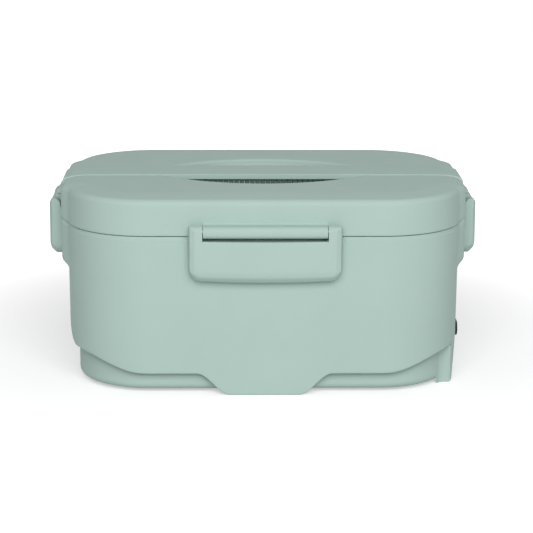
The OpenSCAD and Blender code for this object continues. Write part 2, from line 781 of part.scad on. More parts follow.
module side_dish_tray() color([0.9, 0.92, 0.91]) {
  r = tray_round;
  flange_out = tray_in - pot_in - steel_t - flange_gap;
  flange_top = step_z + tray_wall;
  half = hy - tray_in - tray_wall / 2;
  inset_ring(tray_in) polygon(concat(
    [[-r, tray_floor + tray_wall], [-r, tray_floor]],
    arc(-r, tray_floor + r, r, -90, 0),
    [[0, step_z], [flange_out, step_z], [flange_out, flange_top], [0, flange_top],
      [0, flange_top + tray_lip], [-tray_wall, flange_top + tray_lip]],
    arc(-r, tray_floor + r, r - tray_wall, 0, -90)));
  slab(tray_in + r, tray_floor, tray_wall);
  translate([divider_x - tray_wall / 2, -half, tray_floor + tray_wall / 2])
    cube([tray_wall, 2 * half, tray_depth - tray_wall / 2 - divider_low]);
}

// ---- Lid ----

// Outline of the finger recess, grown by a wall
module recess_plan(grow) intersection() {
  translate([0, recess_off]) circle(r = recess_r + grow);
  translate([0, -recess_off]) circle(r = recess_r + grow);
}

// Shoulder from the lid's top down to a boss's face, or lifted above it and out of it
function roll(lift, out) = concat(
  [[boss_x + out - shoulder_lead[0][0], lid_top + lift - shoulder_lead[0][1]]],
  arc(boss_x + out - shoulder_lead[1][0], lid_top + lift - shoulder_lead[1][1], shoulder_r, shoulder_turn, 0));

module lid_boss() intersection() {
  inside = hx - shell_wall - over;
  boss_plan(boss_seam + seam_gap, lid_h, 0, margin - over);
  rotate([90, 0, 0]) translate([0, 0, -hy]) linear_extrude(body_d)
    polygon(concat([[hx - margin, top_under], [hx - margin, lid_top]], roll(0, 0),
      [[boss_x, body_h], [inside, body_h], [inside, top_under - lid_round]]));
}

// Side view of the strap, over the lid and down to the faces of the bosses
module strap_profile() {
  top = lid_top + strap_proud;
  tail = boss_seam + axis_z + hood[0][1] + tail_gap;
  inner_x = boss_x + strap_out - strap_end_t;
  half = concat([[0, top + strap_crown], [hx - margin - crown_run, top + strap_crown - crown_fall / 2],
      [hx - margin, top]],
    roll(strap_proud, strap_out), [for (p = flare) [boss_x + p[0], tail + p[1]]], [[inner_x, tail]],
    [for (i = [1, 0]) [inner_x - strap_inner[i][0], lid_top - strap_inner[i][1]]],
    [[hx - margin, strap_under]]);
  polygon(concat(half, [for (i = [len(half) - 1:-1:1]) [-half[i][0], half[i][1]]]));
}

module strap_solid(grow) rotate([90, 0, 0]) translate([0, 0, -strap_half - grow])
  linear_extrude(2 * (strap_half + grow)) strap_profile();

module hinge_barrel(i) {
  half = latch_width(i) - arm_w - latch_gap;
  on_wall(i) translate([0, -axis_out, axis_z]) {
    rotate([0, 90, 0]) cylinder(r = barrel_r, h = 2 * half, center = true);
    translate([-half, 0, -barrel_r]) cube([2 * half, axis_out + lid_wall / 2, 2 * barrel_r]);
    if (i % 2 == 1) rotate([90, 0, 90]) translate([0, 0, -half]) linear_extrude(2 * half)
      polygon(concat([[axis_out + lid_wall / 2, 0], [axis_out + lid_wall / 2, hood[0][1]]],
        [for (p = hood) [axis_out - p[0], p[1]]], [[0, 0]]));
  }
}

module pin_bore(i, r, half) on_wall(i) translate([0, -axis_out, axis_z]) rotate([0, 90, 0])
  cylinder(r = r, h = 2 * half, center = true);

module lid_shell() color([0.71, 0.8, 0.77]) {
  f = lid_round;
  lean = 0.4;
  edge_low = lid_top - margin_fall - f;
  difference() {
    union() {
      inset_ring(0) polygon(concat(
        [[-lid_wall, lid_z], [0, lid_z], [-lean, edge_low]],
        arc(-lean - f, edge_low, f, 0, 90),
        [[-margin, lid_top], [-margin, top_under]],
        arc(-lean - f, edge_low, f - lid_wall, 90, 0)));
      slab(margin, top_under, lid_wall);
      for (s = [0, 1]) mirror([s, 0, 0]) lid_boss();
      for (i = [0:3]) hinge_barrel(i);
      at_four(panel_screw_x, panel_screw_y) translate([0, 0, panel_z + panel_t])
        cylinder(r = small_boss_r, h = top_under - panel_z - panel_t + lid_wall / 2);
    }
    for (s = [0, 1]) mirror([s, 0, 0]) boss_plan(body_h - over, boss_step + seam_gap + over, boss_gap);
    translate([0, 0, top_under - over]) linear_extrude(lid_wall + 2 * over) recess_plan(0);
    strap_solid(eps);
    for (s = [-1, 1]) translate([s * strap_screw_x, 0, top_under - over])
      cylinder(r = strap_boss_r + 0.2, h = 2 * over);
    at_four(panel_screw_x, panel_screw_y) translate([0, 0, panel_z])
      cylinder(r = small_bore_r, h = panel_screw_len + over);
    for (i = [0:3]) pin_bore(i, hinge_pin_d / 2 + pin_play, latch_half);
  }
}

module handle_strap() color([0.72, 0.81, 0.78]) difference() {
  union() {
    strap_solid(0);
    for (s = [-1, 1]) translate([s * strap_screw_x, 0, top_under + 0.2])
      cylinder(r = strap_boss_r, h = strap_under - top_under);
  }
  for (s = [-1, 1]) translate([s * strap_screw_x, 0, top_under - over])
    cylinder(r = small_bore_r, h = over + strap_screw_len + 0.2);
}

module strap_screws() color([0.7, 0.7, 0.72]) for (s = [-1, 1])
  translate([s * strap_screw_x, 0, top_under]) screw(strap_head_r, small_head_h, small_r, strap_screw_len);

module strap_pad() color([0.28, 0.36, 0.34]) {
  side = strap_half - 1.8;
  backing = 1;
  count = floor(pad_half / rib_pitch);
  half = count * rib_pitch;
  translate([-half - rib_w / 2, -side, strap_under - backing]) cube([2 * half + rib_w, 2 * side, backing]);
  for (i = [-count:count]) translate([i * rib_pitch - rib_w / 2, -side, strap_under - pad_t])
    cube([rib_w, 2 * side, pad_t - backing + eps]);
}

module grip_cup() color([0.45, 0.55, 0.52]) difference() {
  translate([0, 0, panel_z + panel_t]) linear_extrude(top_under - panel_z - panel_t) recess_plan(cup_wall);
  translate([0, 0, panel_z + panel_t + cup_wall]) linear_extrude(lid_h) recess_plan(0);
}

// Seal under the panel, keyed into a groove of it
seal_in = pot_in - pot_rim + 0.3;
key_w = 1.6;
key_h = 2;
rail_in = 3;
rail_out = 2;
panel_in = lid_wall + 3.5;

module lid_panel() color([0.82, 0.86, 0.84]) difference() {
  union() {
    slab(panel_in, panel_z, panel_t);
    inset_ring(seal_in) translate([-seal_w - rail_in, seal_top])
      square([seal_w + rail_in + rail_out, panel_z - seal_top + eps]);
  }
  inset_ring(seal_in) translate([-(seal_w + key_w) / 2, seal_top - over]) square([key_w, key_h + over]);
  at_four(panel_screw_x, panel_screw_y) cylinder(r = small_hole_r, h = lid_top);
}

module lid_seal() color([0.88, 0.89, 0.88]) inset_ring(seal_in) {
  lip = 1;
  key_out = -(seal_w - key_w) / 2;
  polygon([[-seal_w, seal_top], [-seal_w, seal_z + lip], [-seal_w + lip, seal_z], [-lip, seal_z],
    [0, seal_z + lip], [0, seal_top], [key_out, seal_top], [key_out, seal_top + key_h],
    [key_out - key_w, seal_top + key_h], [key_out - key_w, seal_top]]);
}

module panel_screws() color([0.7, 0.7, 0.72]) at_four(panel_screw_x, panel_screw_y)
  translate([0, 0, panel_z]) screw(small_head_r, small_head_h, small_r, panel_screw_len);

// ---- Latches ----

module latch(i) color([0.73, 0.81, 0.78]) {
  half = latch_width(i);
  inner = half - arm_w;
  drop = latch_length(i);
  low = -drop;
  reach = half - latch_wall;
  back = -latch_out + latch_wall;
  on_wall(i) difference() {
    union() {
      difference() {
        // Side view: the plate, its turned-in lower edge and the round ends of the arms
        rotate([90, 0, 90]) translate([0, 0, -half]) linear_extrude(2 * half) {
          translate([-axis_out, axis_z]) circle(r = arm_r);
          polygon(concat([[-latch_out, axis_z]], [for (p = chin) [p[0] - latch_out, low + p[1]]],
            [[-latch_gap, low], [-latch_gap, axis_z]]));
        }
        // Hollow behind the plate
        translate([-reach, back, low + latch_wall]) cube([2 * reach, latch_out, drop - latch_wall]);
        // Window between the arms, round the barrel
        translate([-inner, -latch_out - over, 0]) cube([2 * inner, latch_out + 2 * over, drop]);
      }
      // Arms that carry the hinge
      for (s = [-1, 1]) translate([s * (half + inner) / 2 - arm_w / 2, 0, 0]) rotate([90, 0, 90])
        linear_extrude(arm_w) {
          translate([-axis_out, axis_z]) circle(r = arm_r);
          polygon([[-latch_out, axis_z], [-latch_out, -arm_root], [back, -arm_root], [-latch_gap, -arm_foot],
            [-latch_gap, axis_z]]);
        }
      // Ridge that snaps under the body's rib
      translate([-inner + over, back - eps, catch_top - catch_h - ridge_gap - ridge_h])
        cube([2 * (inner - over), latch_out - latch_wall - catch_out - catch_gap + eps, ridge_h]);
    }
    // Rounded lower corners
    for (s = [-1, 1]) translate([s * (half - latch_r), 0, low + latch_r]) rotate([90, 0, 0])
      translate([0, 0, -over]) linear_extrude(latch_out + 2 * over) difference() {
        translate([s > 0 ? 0 : -latch_r - over, -latch_r - over]) square([latch_r + over, latch_r + over]);
        circle(r = latch_r);
      }
    // Bevel along both sides
    for (s = [-1, 1]) translate([s * half, 0, low - over])
      linear_extrude(drop + axis_z + arm_r + 2 * over) polygon([[-s * bevel, -latch_out - eps],
        [s * over, -latch_out - eps], [s * over, -latch_out + bevel_in + over], [0, -latch_out + bevel_in]]);
    // Blind bores for the pin
    translate([0, -axis_out, axis_z]) rotate([0, 90, 0])
      cylinder(r = hinge_pin_d / 2 + pin_play, h = 2 * (half - blind), center = true);
  }
}
module latch_front() latch(0);
module latch_right() latch(1);
module latch_back() latch(2);
module latch_left() latch(3);

module hinge_pin(i) color([0.75, 0.76, 0.78])
  pin_bore(i, hinge_pin_d / 2, latch_width(i) - blind - end_play);
module hinge_pin_front() hinge_pin(0);
module hinge_pin_right() hinge_pin(1);
module hinge_pin_back() hinge_pin(2);
module hinge_pin_left() hinge_pin(3);

outer_shell();
bottom_cover();
rubber_feet();
cover_screws();
well_liner();
heating_plate();
heater_block();
heater_clamp();
clamp_screws();
thermostat();
thermal_fuse();
fuse_clip();
ac_inlet();
inlet_pin_live();
inlet_pin_neutral();
wire_live();
wire_link();
wire_heater();
wire_neutral();
lid_shell();
handle_strap();
strap_pad();
strap_screws();
grip_cup();
lid_panel();
lid_seal();
panel_screws();
latch_front();
latch_right();
latch_back();
latch_left();
hinge_pin_front();
hinge_pin_right();
hinge_pin_back();
hinge_pin_left();
food_container();
side_dish_tray();
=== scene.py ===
"""Finished surfaces, materials and studio stage of an electric lunch box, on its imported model."""
import functools
import json
import math

import bmesh
import bpy
import numpy as np
from bpy.props import FloatProperty, FloatVectorProperty, IntProperty, PointerProperty
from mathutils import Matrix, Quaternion, Vector


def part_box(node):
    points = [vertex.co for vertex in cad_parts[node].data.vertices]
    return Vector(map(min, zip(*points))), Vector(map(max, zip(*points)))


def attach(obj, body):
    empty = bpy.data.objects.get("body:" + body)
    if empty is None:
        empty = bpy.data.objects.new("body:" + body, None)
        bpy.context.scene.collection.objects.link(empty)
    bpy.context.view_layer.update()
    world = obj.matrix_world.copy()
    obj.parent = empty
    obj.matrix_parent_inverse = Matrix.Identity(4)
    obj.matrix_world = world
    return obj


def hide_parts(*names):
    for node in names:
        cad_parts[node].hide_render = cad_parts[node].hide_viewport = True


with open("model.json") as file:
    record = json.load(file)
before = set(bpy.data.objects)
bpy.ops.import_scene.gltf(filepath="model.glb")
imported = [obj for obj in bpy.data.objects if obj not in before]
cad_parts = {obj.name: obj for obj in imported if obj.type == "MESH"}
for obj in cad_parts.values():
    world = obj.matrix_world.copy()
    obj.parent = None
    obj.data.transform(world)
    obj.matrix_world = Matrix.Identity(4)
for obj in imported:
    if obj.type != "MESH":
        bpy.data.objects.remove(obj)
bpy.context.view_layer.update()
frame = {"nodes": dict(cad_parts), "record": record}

bl_info = {
    "name": "Electric Lunch Box",
    "version": (1, 0, 0),
    "blender": (4, 5, 0),
    "location": "3D View > Sidebar > Lunch Box",
    "description": "Makes the finished pieces of an electric lunch box and the stage it stands on",
    "category": "Add Mesh",
}


# ---- Sizes and colours ----

def length(name, default, description):
    return FloatProperty(name=name, description=description, default=default, unit="LENGTH",
                         subtype="DISTANCE", precision=5)


def point(name, default, description):
    return FloatVectorProperty(name=name, description=description, default=default, subtype="XYZ",
                               unit="LENGTH")


def colour(name, default, description):
    return FloatVectorProperty(name=name, description=description, default=default, size=3,
                               subtype="COLOR", min=0, max=1)


class LunchBoxBody(bpy.types.PropertyGroup):
    width: length("Width", 0.219, "Width of the shell at the seam")
    depth: length("Depth", 0.165, "Depth of the shell at the seam")
    seam: length("Seam height", 0.089, "Height of the seam between body and lid")
    corner: length("Corner radius", 0.046, "Corner radius of the shell in plan")
    wall: length("Wall", 0.0024, "Wall of the shell")
    draft: length("Draft", 0.0007, "How far the shell draws in down to the table")
    gap: length("Seam gap", 0.0004, "Gap between the body and the lid")
    edge: length("Edge", 0.0008, "Rounding of the shell's edges")
    tongue_half: length("Tongue", 0.0186, "Half width of the front and back tongues")
    tongue_ramp: length("Tongue ramp", 0.0189, "Length of the climb beside a tongue")
    edge_rise: length("Edge rise", 0.0122, "Height of the edge beside the tongues")
    corner_rise: length("Corner rise", 0.009, "Further climb round the corners")
    corner_lead: length("Corner lead", 0.0025, "Start of that climb, past the start of a corner")
    corner_end: length("Corner end", 0.0035, "End of that climb, in from the shell's side")
    arch_rise: length("Arch rise", 0.014, "Further climb into the side arches")
    arch_lead: length("Arch lead", 0.0205, "Start of that climb, past the start of a corner")
    arch_ramp: length("Arch ramp", 0.025, "Length of that climb")
    arch_band: length("Arch band", 0.008, "Band along each side in which it climbs")
    boss_out: length("Boss", 0.004, "How far the side bosses stand out")
    boss_half: length("Boss half length", 0.036, "Half length of a boss at its face")
    boss_ramp: length("Boss ramp", 0.008, "Length of the ramp at a boss's ends")
    boss_past: length("Boss blend", 0.002, "How far past its ramp a boss blends in")
    boss_drop: length("Boss drop", 0.026, "Height of a boss below the seam")
    boss_foot: length("Boss foot", 0.0047, "Height over which a boss slopes out of the wall")
    boss_step: length("Boss step", 0.002, "How much higher the seam runs on a boss")
    rebate: length("Rebate", 0.0005, "Depth of the rebate along the top edge")
    rebate_h: length("Rebate height", 0.0016, "Height of that rebate")
    side_band: length("Side band", 0.01, "Band along each side in which a boss may stand")
    spacing: length("Spacing", 0.00105, "Distance between points round the shell")


class LunchBoxLid(bpy.types.PropertyGroup):
    height: length("Height", 0.0214, "Height of the lid above the seam")
    wall: length("Wall", 0.0022, "Wall of the lid")
    lean: length("Lean", 0.0004, "How far the lid's wall leans in")
    rounding: length("Rounding", 0.0034, "Rounding of the lid's upper edge")
    margin: length("Border", 0.015, "Width of the sloping border of the top")
    margin_fall: length("Border fall", 0.0012, "Fall of the border to the rounded edge")
    recess_x: length("Recess length", 0.0654, "Half length of the finger recess")
    recess_y: length("Recess width", 0.0385, "Half width of the finger recess")
    recess_edge: length("Recess edge", 0.0019, "Rounding of the recess's edge")
    cup_floor: length("Cup floor", 0.0956, "Height of the grip cup's floor above the table")
    cup_lean: length("Recess lean", 0.004, "How far the recess's walls lean in down to the floor")
    shoulder_r: length("Shoulder rounding", 0.003, "Rounding at the top of a boss's face")
    shoulder_fall: length("Shoulder fall", 0.0046, "Depth of that rounding's centre below the top")
    strap_half: length("Strap", 0.0148, "Half width of the strap")
    strap_out: length("Strap ends", 0.001, "How far the strap's ends stand out of the bosses")
    strap_t: length("Strap thickness", 0.003, "Thickness of the strap over the recess")
    strap_end_t: length("Strap end", 0.0028, "Thickness of the strap down a boss")
    strap_proud: length("Strap height", 0.0005, "How far the strap stands above the lid")
    strap_crown: length("Strap crown", 0.0001, "Rise of the strap to its middle")
    pad_t: length("Pad", 0.0038, "Thickness of the ribbed pad")
    rib_pitch: length("Rib pitch", 0.003, "Spacing of the pad's ribs")
    rib_w: length("Rib width", 0.0024, "Width of a rib of the pad")


class LunchBoxLatch(bpy.types.PropertyGroup):
    half: length("Half width", 0.0405, "Half width of the front and back latches")
    side_half: length("Side half width", 0.021, "Half width of the side latches")
    out: length("Out", 0.0078, "How far a latch stands out of the wall")
    drop: length("Drop", 0.0244, "Drop of the front and back latches below the seam")
    side_drop: length("Side drop", 0.0258, "Drop of the side latches below the bosses' seam")
    arm: length("Arm", 0.0066, "Width of a latch's arm")
    wall: length("Wall", 0.0022, "Thickness of a latch's plate")
    corner: length("Corner", 0.006, "Corner radius of a latch")
    bevel: length("Bevel", 0.0024, "Width of the bevel along a latch's sides")
    bevel_in: length("Bevel depth", 0.0014, "Depth of that bevel")
    axis_up: length("Hinge height", 0.004, "Height of a hinge above the seam")
    arm_r: length("Arm rounding", 0.0031, "Radius of an arm round its hinge")
    barrel_r: length("Barrel", 0.0028, "Radius of a hinge barrel")
    gap: length("Gap", 0.0006, "Gap between a latch and the wall")
    play: length("Play", 0.0003, "Gap between the ends of a barrel and the arms")
    sag: length("Sag", 0.0011, "How far the front barrels' lower half lies below the upper half")
    sill: length("Sill", 0.0011, "Drop of the window's lower edge below the seam")
    splay: length("Splay", 0.0013, "How much each side of a latch widens to the wall")
    bow: length("Window bow", 0.0004, "Bow of the plate's top edge in the window")
    low_bow: length("Lower bow", 0.0012, "Rise of the lower edge from the middle to the sides")
    hood: length("Hood", 0.0048, "Height of a side hinge's hood above its axis")


class LunchBoxInlet(bpy.types.PropertyGroup):
    place_y: length("Place", -0.0295, "Place of the inlet along the side")
    place_z: length("Height", 0.0257, "Height of the inlet's middle")
    half: length("Half length", 0.0091, "Half length of the bezel")
    rise: length("Half height", 0.0046, "Half height of the bezel")
    mouth_half: length("Mouth half length", 0.0073, "Half length of the socket's mouth")
    mouth_rise: length("Mouth half height", 0.0032, "Half height of the socket's mouth")
    depth: length("Depth", 0.0084, "Depth of the socket")
    flange: length("Flange", 0.0033, "Depth of the bezel from its front to its seat")
    ledge: length("Ledge", 0.0007, "Width of the bezel's seat")
    lip: length("Lip", 0.0005, "Width of the step round the bezel's front")


class LunchBoxFinish(bpy.types.PropertyGroup):
    green: colour("Green", (0.445, 0.584, 0.533), "Polypropylene of shell, lid and latches")
    # Grip: partly the soft pad's own darker green-grey and partly painted shade of the recess under the
    # strap.
    dark: colour("Grip", (0.075, 0.125, 0.105), "Soft pad under the strap")
    liner: colour("Liner", (0.74, 0.78, 0.76), "Polypropylene of the well and panel")
    tray: colour("Tray", (0.80, 0.84, 0.83), "Polypropylene of the tray")
    black: colour("Black", (0.018, 0.02, 0.02), "Inlet and thermostat")
    steel: colour("Steel", (0.42, 0.425, 0.43), "Stainless steel of the container")


class LunchBoxStage(bpy.types.PropertyGroup):
    lens: FloatProperty(name="Lens", description="Focal length of the camera", default=133.1, unit="CAMERA")
    eye: point("Eye", (-0.021757, -1.119738, 0.313242), "Place of the camera")
    target: point("Target", (0.002327, -0.0075, 0.055381), "Point the camera looks at")
    roll: FloatProperty(name="Roll", description="Turn of the camera about its line of sight",
                        default=0.00385, subtype="ANGLE")
    front: FloatProperty(name="Front light", description="Power of the front light", default=28.2, min=0)
    around: FloatProperty(name="Room light", description="Strength of the light from all round",
                          default=0.285, min=0)
    floor_half: length("Floor", 1.5, "Half width of the floor")
    # Below 1, this glow paints the floor darker round the object: painted shade round the base.
    glow: FloatProperty(name="Floor glow", description="Floor's own light under the object; 1 is white",
                        default=0.45, min=0, max=1)
    glow_from: length("Glow start", 0.12, "Distance where that light starts to rise")
    glow_to: length("Glow end", 0.5, "Distance where the floor is white")


class LunchBox(bpy.types.PropertyGroup):
    body: PointerProperty(type=LunchBoxBody)
    lid: PointerProperty(type=LunchBoxLid)
    latch: PointerProperty(type=LunchBoxLatch)
    inlet: PointerProperty(type=LunchBoxInlet)
    finish: PointerProperty(type=LunchBoxFinish)
    stage: PointerProperty(type=LunchBoxStage)
    wall_rows: IntProperty(name="Wall rows", description="Rows of faces up the shell's wall", default=44,
                           min=8, max=120)


# ---- Curves and surfaces ----

join = np.concatenate


def coords(*values):
    """Points from their coordinates, each an array or one number for all of them."""
    return np.stack(np.broadcast_arrays(*values), -1)


def smooth(t):
    """Half a cosine wave, from 0 at t = 0 to 1 at t = 1, and level beyond."""
    return (1 - np.cos(np.pi * np.clip(t, 0, 1))) / 2


def turn(x, y, radius, start, end, steps=8):
    """Arc of a profile: points at equal angles from start to end, in degrees, round a centre."""
    a = np.radians(np.linspace(start, end, steps + 1))
    return coords(x + radius * np.cos(a), y + radius * np.sin(a))


def travel(points):
    """Distance run along a polyline at each of its points."""
    return join([[0], np.cumsum(np.hypot(*np.diff(points, axis=0).T))])


def turned_in(past, radius):
    """How far a quarter turn of a radius draws in at a distance past its start."""
    return radius - np.sqrt(radius ** 2 - np.clip(past, 0, radius) ** 2)


def soften(points, reach, spacing):
    """The polyline at even spacing, each point the mean of the line over reach to both sides."""
    along = travel(points)
    count = max(int(round(along[-1] / spacing)), 4)
    at = np.linspace(0, along[-1], count + 1)
    near = np.minimum(reach, np.minimum(at, along[-1] - at))
    where = at[:, None] + near[:, None] * np.linspace(-1, 1, 9)
    return coords(*[np.interp(where, along, axis).mean(1) for axis in points.T])


def stations(body):
    """Stations round the shell's outline, from the middle of its front: the corner centre, or the
    point sliding between two of them, that each station turns about, and its outward direction."""
    cx, cy = body.width / 2 - body.corner, body.depth / 2 - body.corner
    n_x, n_y = round(cx / body.spacing), round(cy / body.spacing)
    n_arc = round(math.pi / 2 * body.corner / body.spacing)
    stops = np.array([(0, -cy, -90), (cx, -cy, -90), (cx, -cy, 0), (cx, cy, 0), (cx, cy, 90), (-cx, cy, 90),
                      (-cx, cy, 180), (-cx, -cy, 180), (-cx, -cy, 270), (0, -cy, 270)])
    counts = [n_x, n_arc, 2 * n_y, n_arc, 2 * n_x, n_arc, 2 * n_y, n_arc, n_x]
    legs = [a + (b - a) * np.arange(n)[:, None] / n for a, b, n in zip(stops, stops[1:], counts)]
    x, y, angle = join(legs).T
    return coords(x, y), coords(np.cos(np.radians(angle)), np.sin(np.radians(angle)))


class Form:
    """Surface of one piece: grids of points with quads between neighbours, and fans that close them."""

    def __init__(self):
        self.points, self.faces, self.total = [], [], 0

    def add(self, points):
        index = self.total + np.arange(len(points))
        self.points.append(points)
        self.total += len(points)
        return index

    def grid(self, points, round_u=False, round_v=False):
        """Quads between neighbours; a round direction joins its last row to its first."""
        rows, columns = points.shape[:2]
        index = self.add(points.reshape(-1, 3)).reshape(rows, columns)
        if round_u:
            index = np.vstack([index, index[:1]])
        if round_v:
            index = np.hstack([index, index[:, :1]])
        self.faces += np.stack([index[:-1, :-1], index[1:, :-1], index[1:, 1:], index[:-1, 1:]],
                               -1).reshape(-1, 4).tolist()
        return index

    def fan(self, ring, centre):
        """Triangles from a round row of point numbers to one point at its middle."""
        middle = self.add(np.array([centre]))[0]
        self.faces += [[a, b, middle] for a, b in zip(ring[:-1].tolist(), ring[1:].tolist())]

    def loft(self, loops):
        """Skin over a row of closed loops, with a fan over the first and the last."""
        index = self.grid(loops, round_v=True)
        self.fan(index[0], loops[0].mean(0))
        self.fan(index[-1], loops[-1].mean(0))


def add_object(name, data):
    """Object of some data, in the scene."""
    made = bpy.data.objects.new(name, data)
    bpy.context.scene.collection.objects.link(made)
    return made


def make_piece(name, form, body, node, slot="shell_plastic", sharp=40):
    """Makes a form a mesh object, with its seams welded, its faces turned outwards and the finish of
    its slot, that rides on a body and stands for a node."""
    mesh = bpy.data.meshes.new(name)
    mesh.from_pydata(join(form.points), [], form.faces)
    shape = bmesh.new()
    shape.from_mesh(mesh)
    bmesh.ops.remove_doubles(shape, verts=shape.verts, dist=2e-7)
    bmesh.ops.dissolve_degenerate(shape, dist=1e-7, edges=shape.edges)
    bmesh.ops.recalc_face_normals(shape, faces=shape.faces)
    shape.to_mesh(mesh)
    shape.free()
    mesh.shade_smooth()
    mesh.set_sharp_from_angle(angle=math.radians(sharp))
    mesh.materials.append(finishes()[slot])
    piece = add_object(name, mesh)
    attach(piece, body)
    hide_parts(node)


def eased_bar(form, loop, half, place, ease):
    """A loop of (out, up) carried along from -half to half, drawn in at both ends by a quarter turn
    of radius ease, and put in place by place(along, out, up)."""
    cos, sin = turn(0, 0, 1, 0, 90, 4).T
    along = join([ease * (1 - cos) - half, half - ease * (1 - cos[::-1])])
    drawn = ease * (1 - join([sin, sin[::-1]]))
    middle = loop.mean(0)
    arm = loop - middle
    size = np.hypot(*arm.T)[:, None]
    loops = middle + arm[None] * (1 - drawn[:, None, None] / size[None])
    form.loft(place(along[:, None], loops[..., 0], loops[..., 1]))


def rounded_box(form, low, high, radius, steps=2):
    """A box with rounded edges: each point of a sphere is moved out with its octant to the box's core."""
    low, high = np.array(low), np.array(high)
    quarter = np.radians(np.linspace(0, 90, steps + 1))
    round_about = join([quarter + k * np.pi / 2 for k in range(4)])
    corner_x = np.repeat([1, -1, -1, 1], steps + 1)
    corner_y = np.repeat([1, 1, -1, -1], steps + 1)
    tilt = join([-quarter[::-1], quarter])
    corner_z = np.repeat([-1, 1], steps + 1)
    core = (high - low) / 2 - radius
    level, up = radius * np.cos(tilt)[:, None], radius * np.sin(tilt)
    form.loft((low + high) / 2 + coords(corner_x * core[0] + level * np.cos(round_about),
                                        corner_y * core[1] + level * np.sin(round_about),
                                        (corner_z * core[2] + up)[:, None]))


# ---- Materials ----

def put(tree, kind, setup=None, *inputs, **named):
    """New shader node with its settings and inputs, given in order or by name, with _ for a space.
    An output is linked to its input, and any other value is set."""
    node = tree.nodes.new("ShaderNode" + kind)
    for name, value in (setup or {}).items():
        setattr(node, name, value)
    named = {name.replace("_", " "): value for name, value in named.items()}
    for key, value in [*enumerate(inputs), *named.items()]:
        if isinstance(value, bpy.types.NodeSocket):
            tree.links.new(value, node.inputs[key])
        else:
            node.inputs[key].default_value = value
    return node


def new_material(name, base, roughness, **sockets):
    """Material with a plain shader: the material, its node tree and the shader."""
    material = bpy.data.materials.new(name)
    material.use_nodes = True
    shader = material.node_tree.nodes["Principled BSDF"]
    for socket, value in {"Base Color": (*base, 1), "Roughness": roughness, **sockets}.items():
        shader.inputs[socket.replace("_", " ")].default_value = value
    return material, material.node_tree, shader


def noise(tree, scale, detail=2.0, stretch=None):
    """Noise over object coordinates, with scale in cells to a metre, stretched where asked."""
    source = put(tree, "TexCoord").outputs["Object"]
    if stretch:
        source = put(tree, "Mapping", Vector=source, Scale=stretch).outputs["Vector"]
    return put(tree, "TexNoise", Vector=source, Scale=scale, Detail=detail).outputs["Fac"]


def vary_colour(tree, shader, factor, base, low, high):
    """Base colour between two multiples of a shade, driven by a factor."""
    dark, light = [(*(channel * times for channel in base), 1) for times in (low, high)]
    mix = put(tree, "Mix", {"data_type": "RGBA"}, Factor=factor, A=dark, B=light)
    tree.links.new(mix.outputs["Result"], shader.inputs["Base Color"])


def vary_roughness(tree, shader, factor, low, high):
    """Roughness between two values, driven by a factor."""
    spread = put(tree, "MapRange", Value=factor, To_Min=low, To_Max=high)
    tree.links.new(spread.outputs["Result"], shader.inputs["Roughness"])


def grain(tree, shader, factor, depth, strength):
    """Fine relief of a depth in metres, driven by a factor."""
    bump = put(tree, "Bump", Strength=strength, Distance=depth, Height=factor)
    tree.links.new(bump.outputs["Normal"], shader.inputs["Normal"])


def moulded_plastic(name, base, roughness, texture_scale=2600.0, depth=2e-5, spread=0.03):
    """Moulded plastic: faint clouds of flow in its colour and gloss, and a fine spark-eroded grain."""
    material, tree, shader = new_material(name, base, roughness, Specular_IOR_Level=0.12)
    flow = noise(tree, 38.0, 3.0)
    vary_colour(tree, shader, flow, base, 1 - spread, 1 + spread)
    vary_roughness(tree, shader, noise(tree, 90.0), roughness - 0.04, roughness + 0.04)
    grain(tree, shader, noise(tree, texture_scale, 3.0), depth, 0.35)
    return material


def soft_rubber(name, base):
    """Matt rubber: an uneven, dusty tone and a fine-grained skin."""
    material, tree, shader = new_material(name, base, 0.75)
    vary_colour(tree, shader, noise(tree, 160.0, 4.0), base, 0.85, 1.15)
    grain(tree, shader, noise(tree, 3800.0, 2.0), 4e-5, 0.5)
    return material


def brushed_metal(name, base, roughness, stretch):
    """Brushed or drawn metal: long fine scratches that vary its gloss and its surface."""
    material, tree, shader = new_material(name, base, roughness, Metallic=1.0)
    lines = noise(tree, 900.0, 4.0, stretch)
    vary_roughness(tree, shader, lines, roughness - 0.08, roughness + 0.1)
    vary_colour(tree, shader, lines, base, 0.93, 1.05)
    grain(tree, shader, lines, 1e-5, 0.3)
    return material


def pressed_ceramic(name, base):
    """Matt sintered ceramic: speckled tone and an open, gritty skin."""
    material, tree, shader = new_material(name, base, 0.85)
    vary_colour(tree, shader, noise(tree, 1500.0, 5.0), base, 0.86, 1.08)
    grain(tree, shader, noise(tree, 2200.0, 5.0), 8e-5, 0.6)
    return material


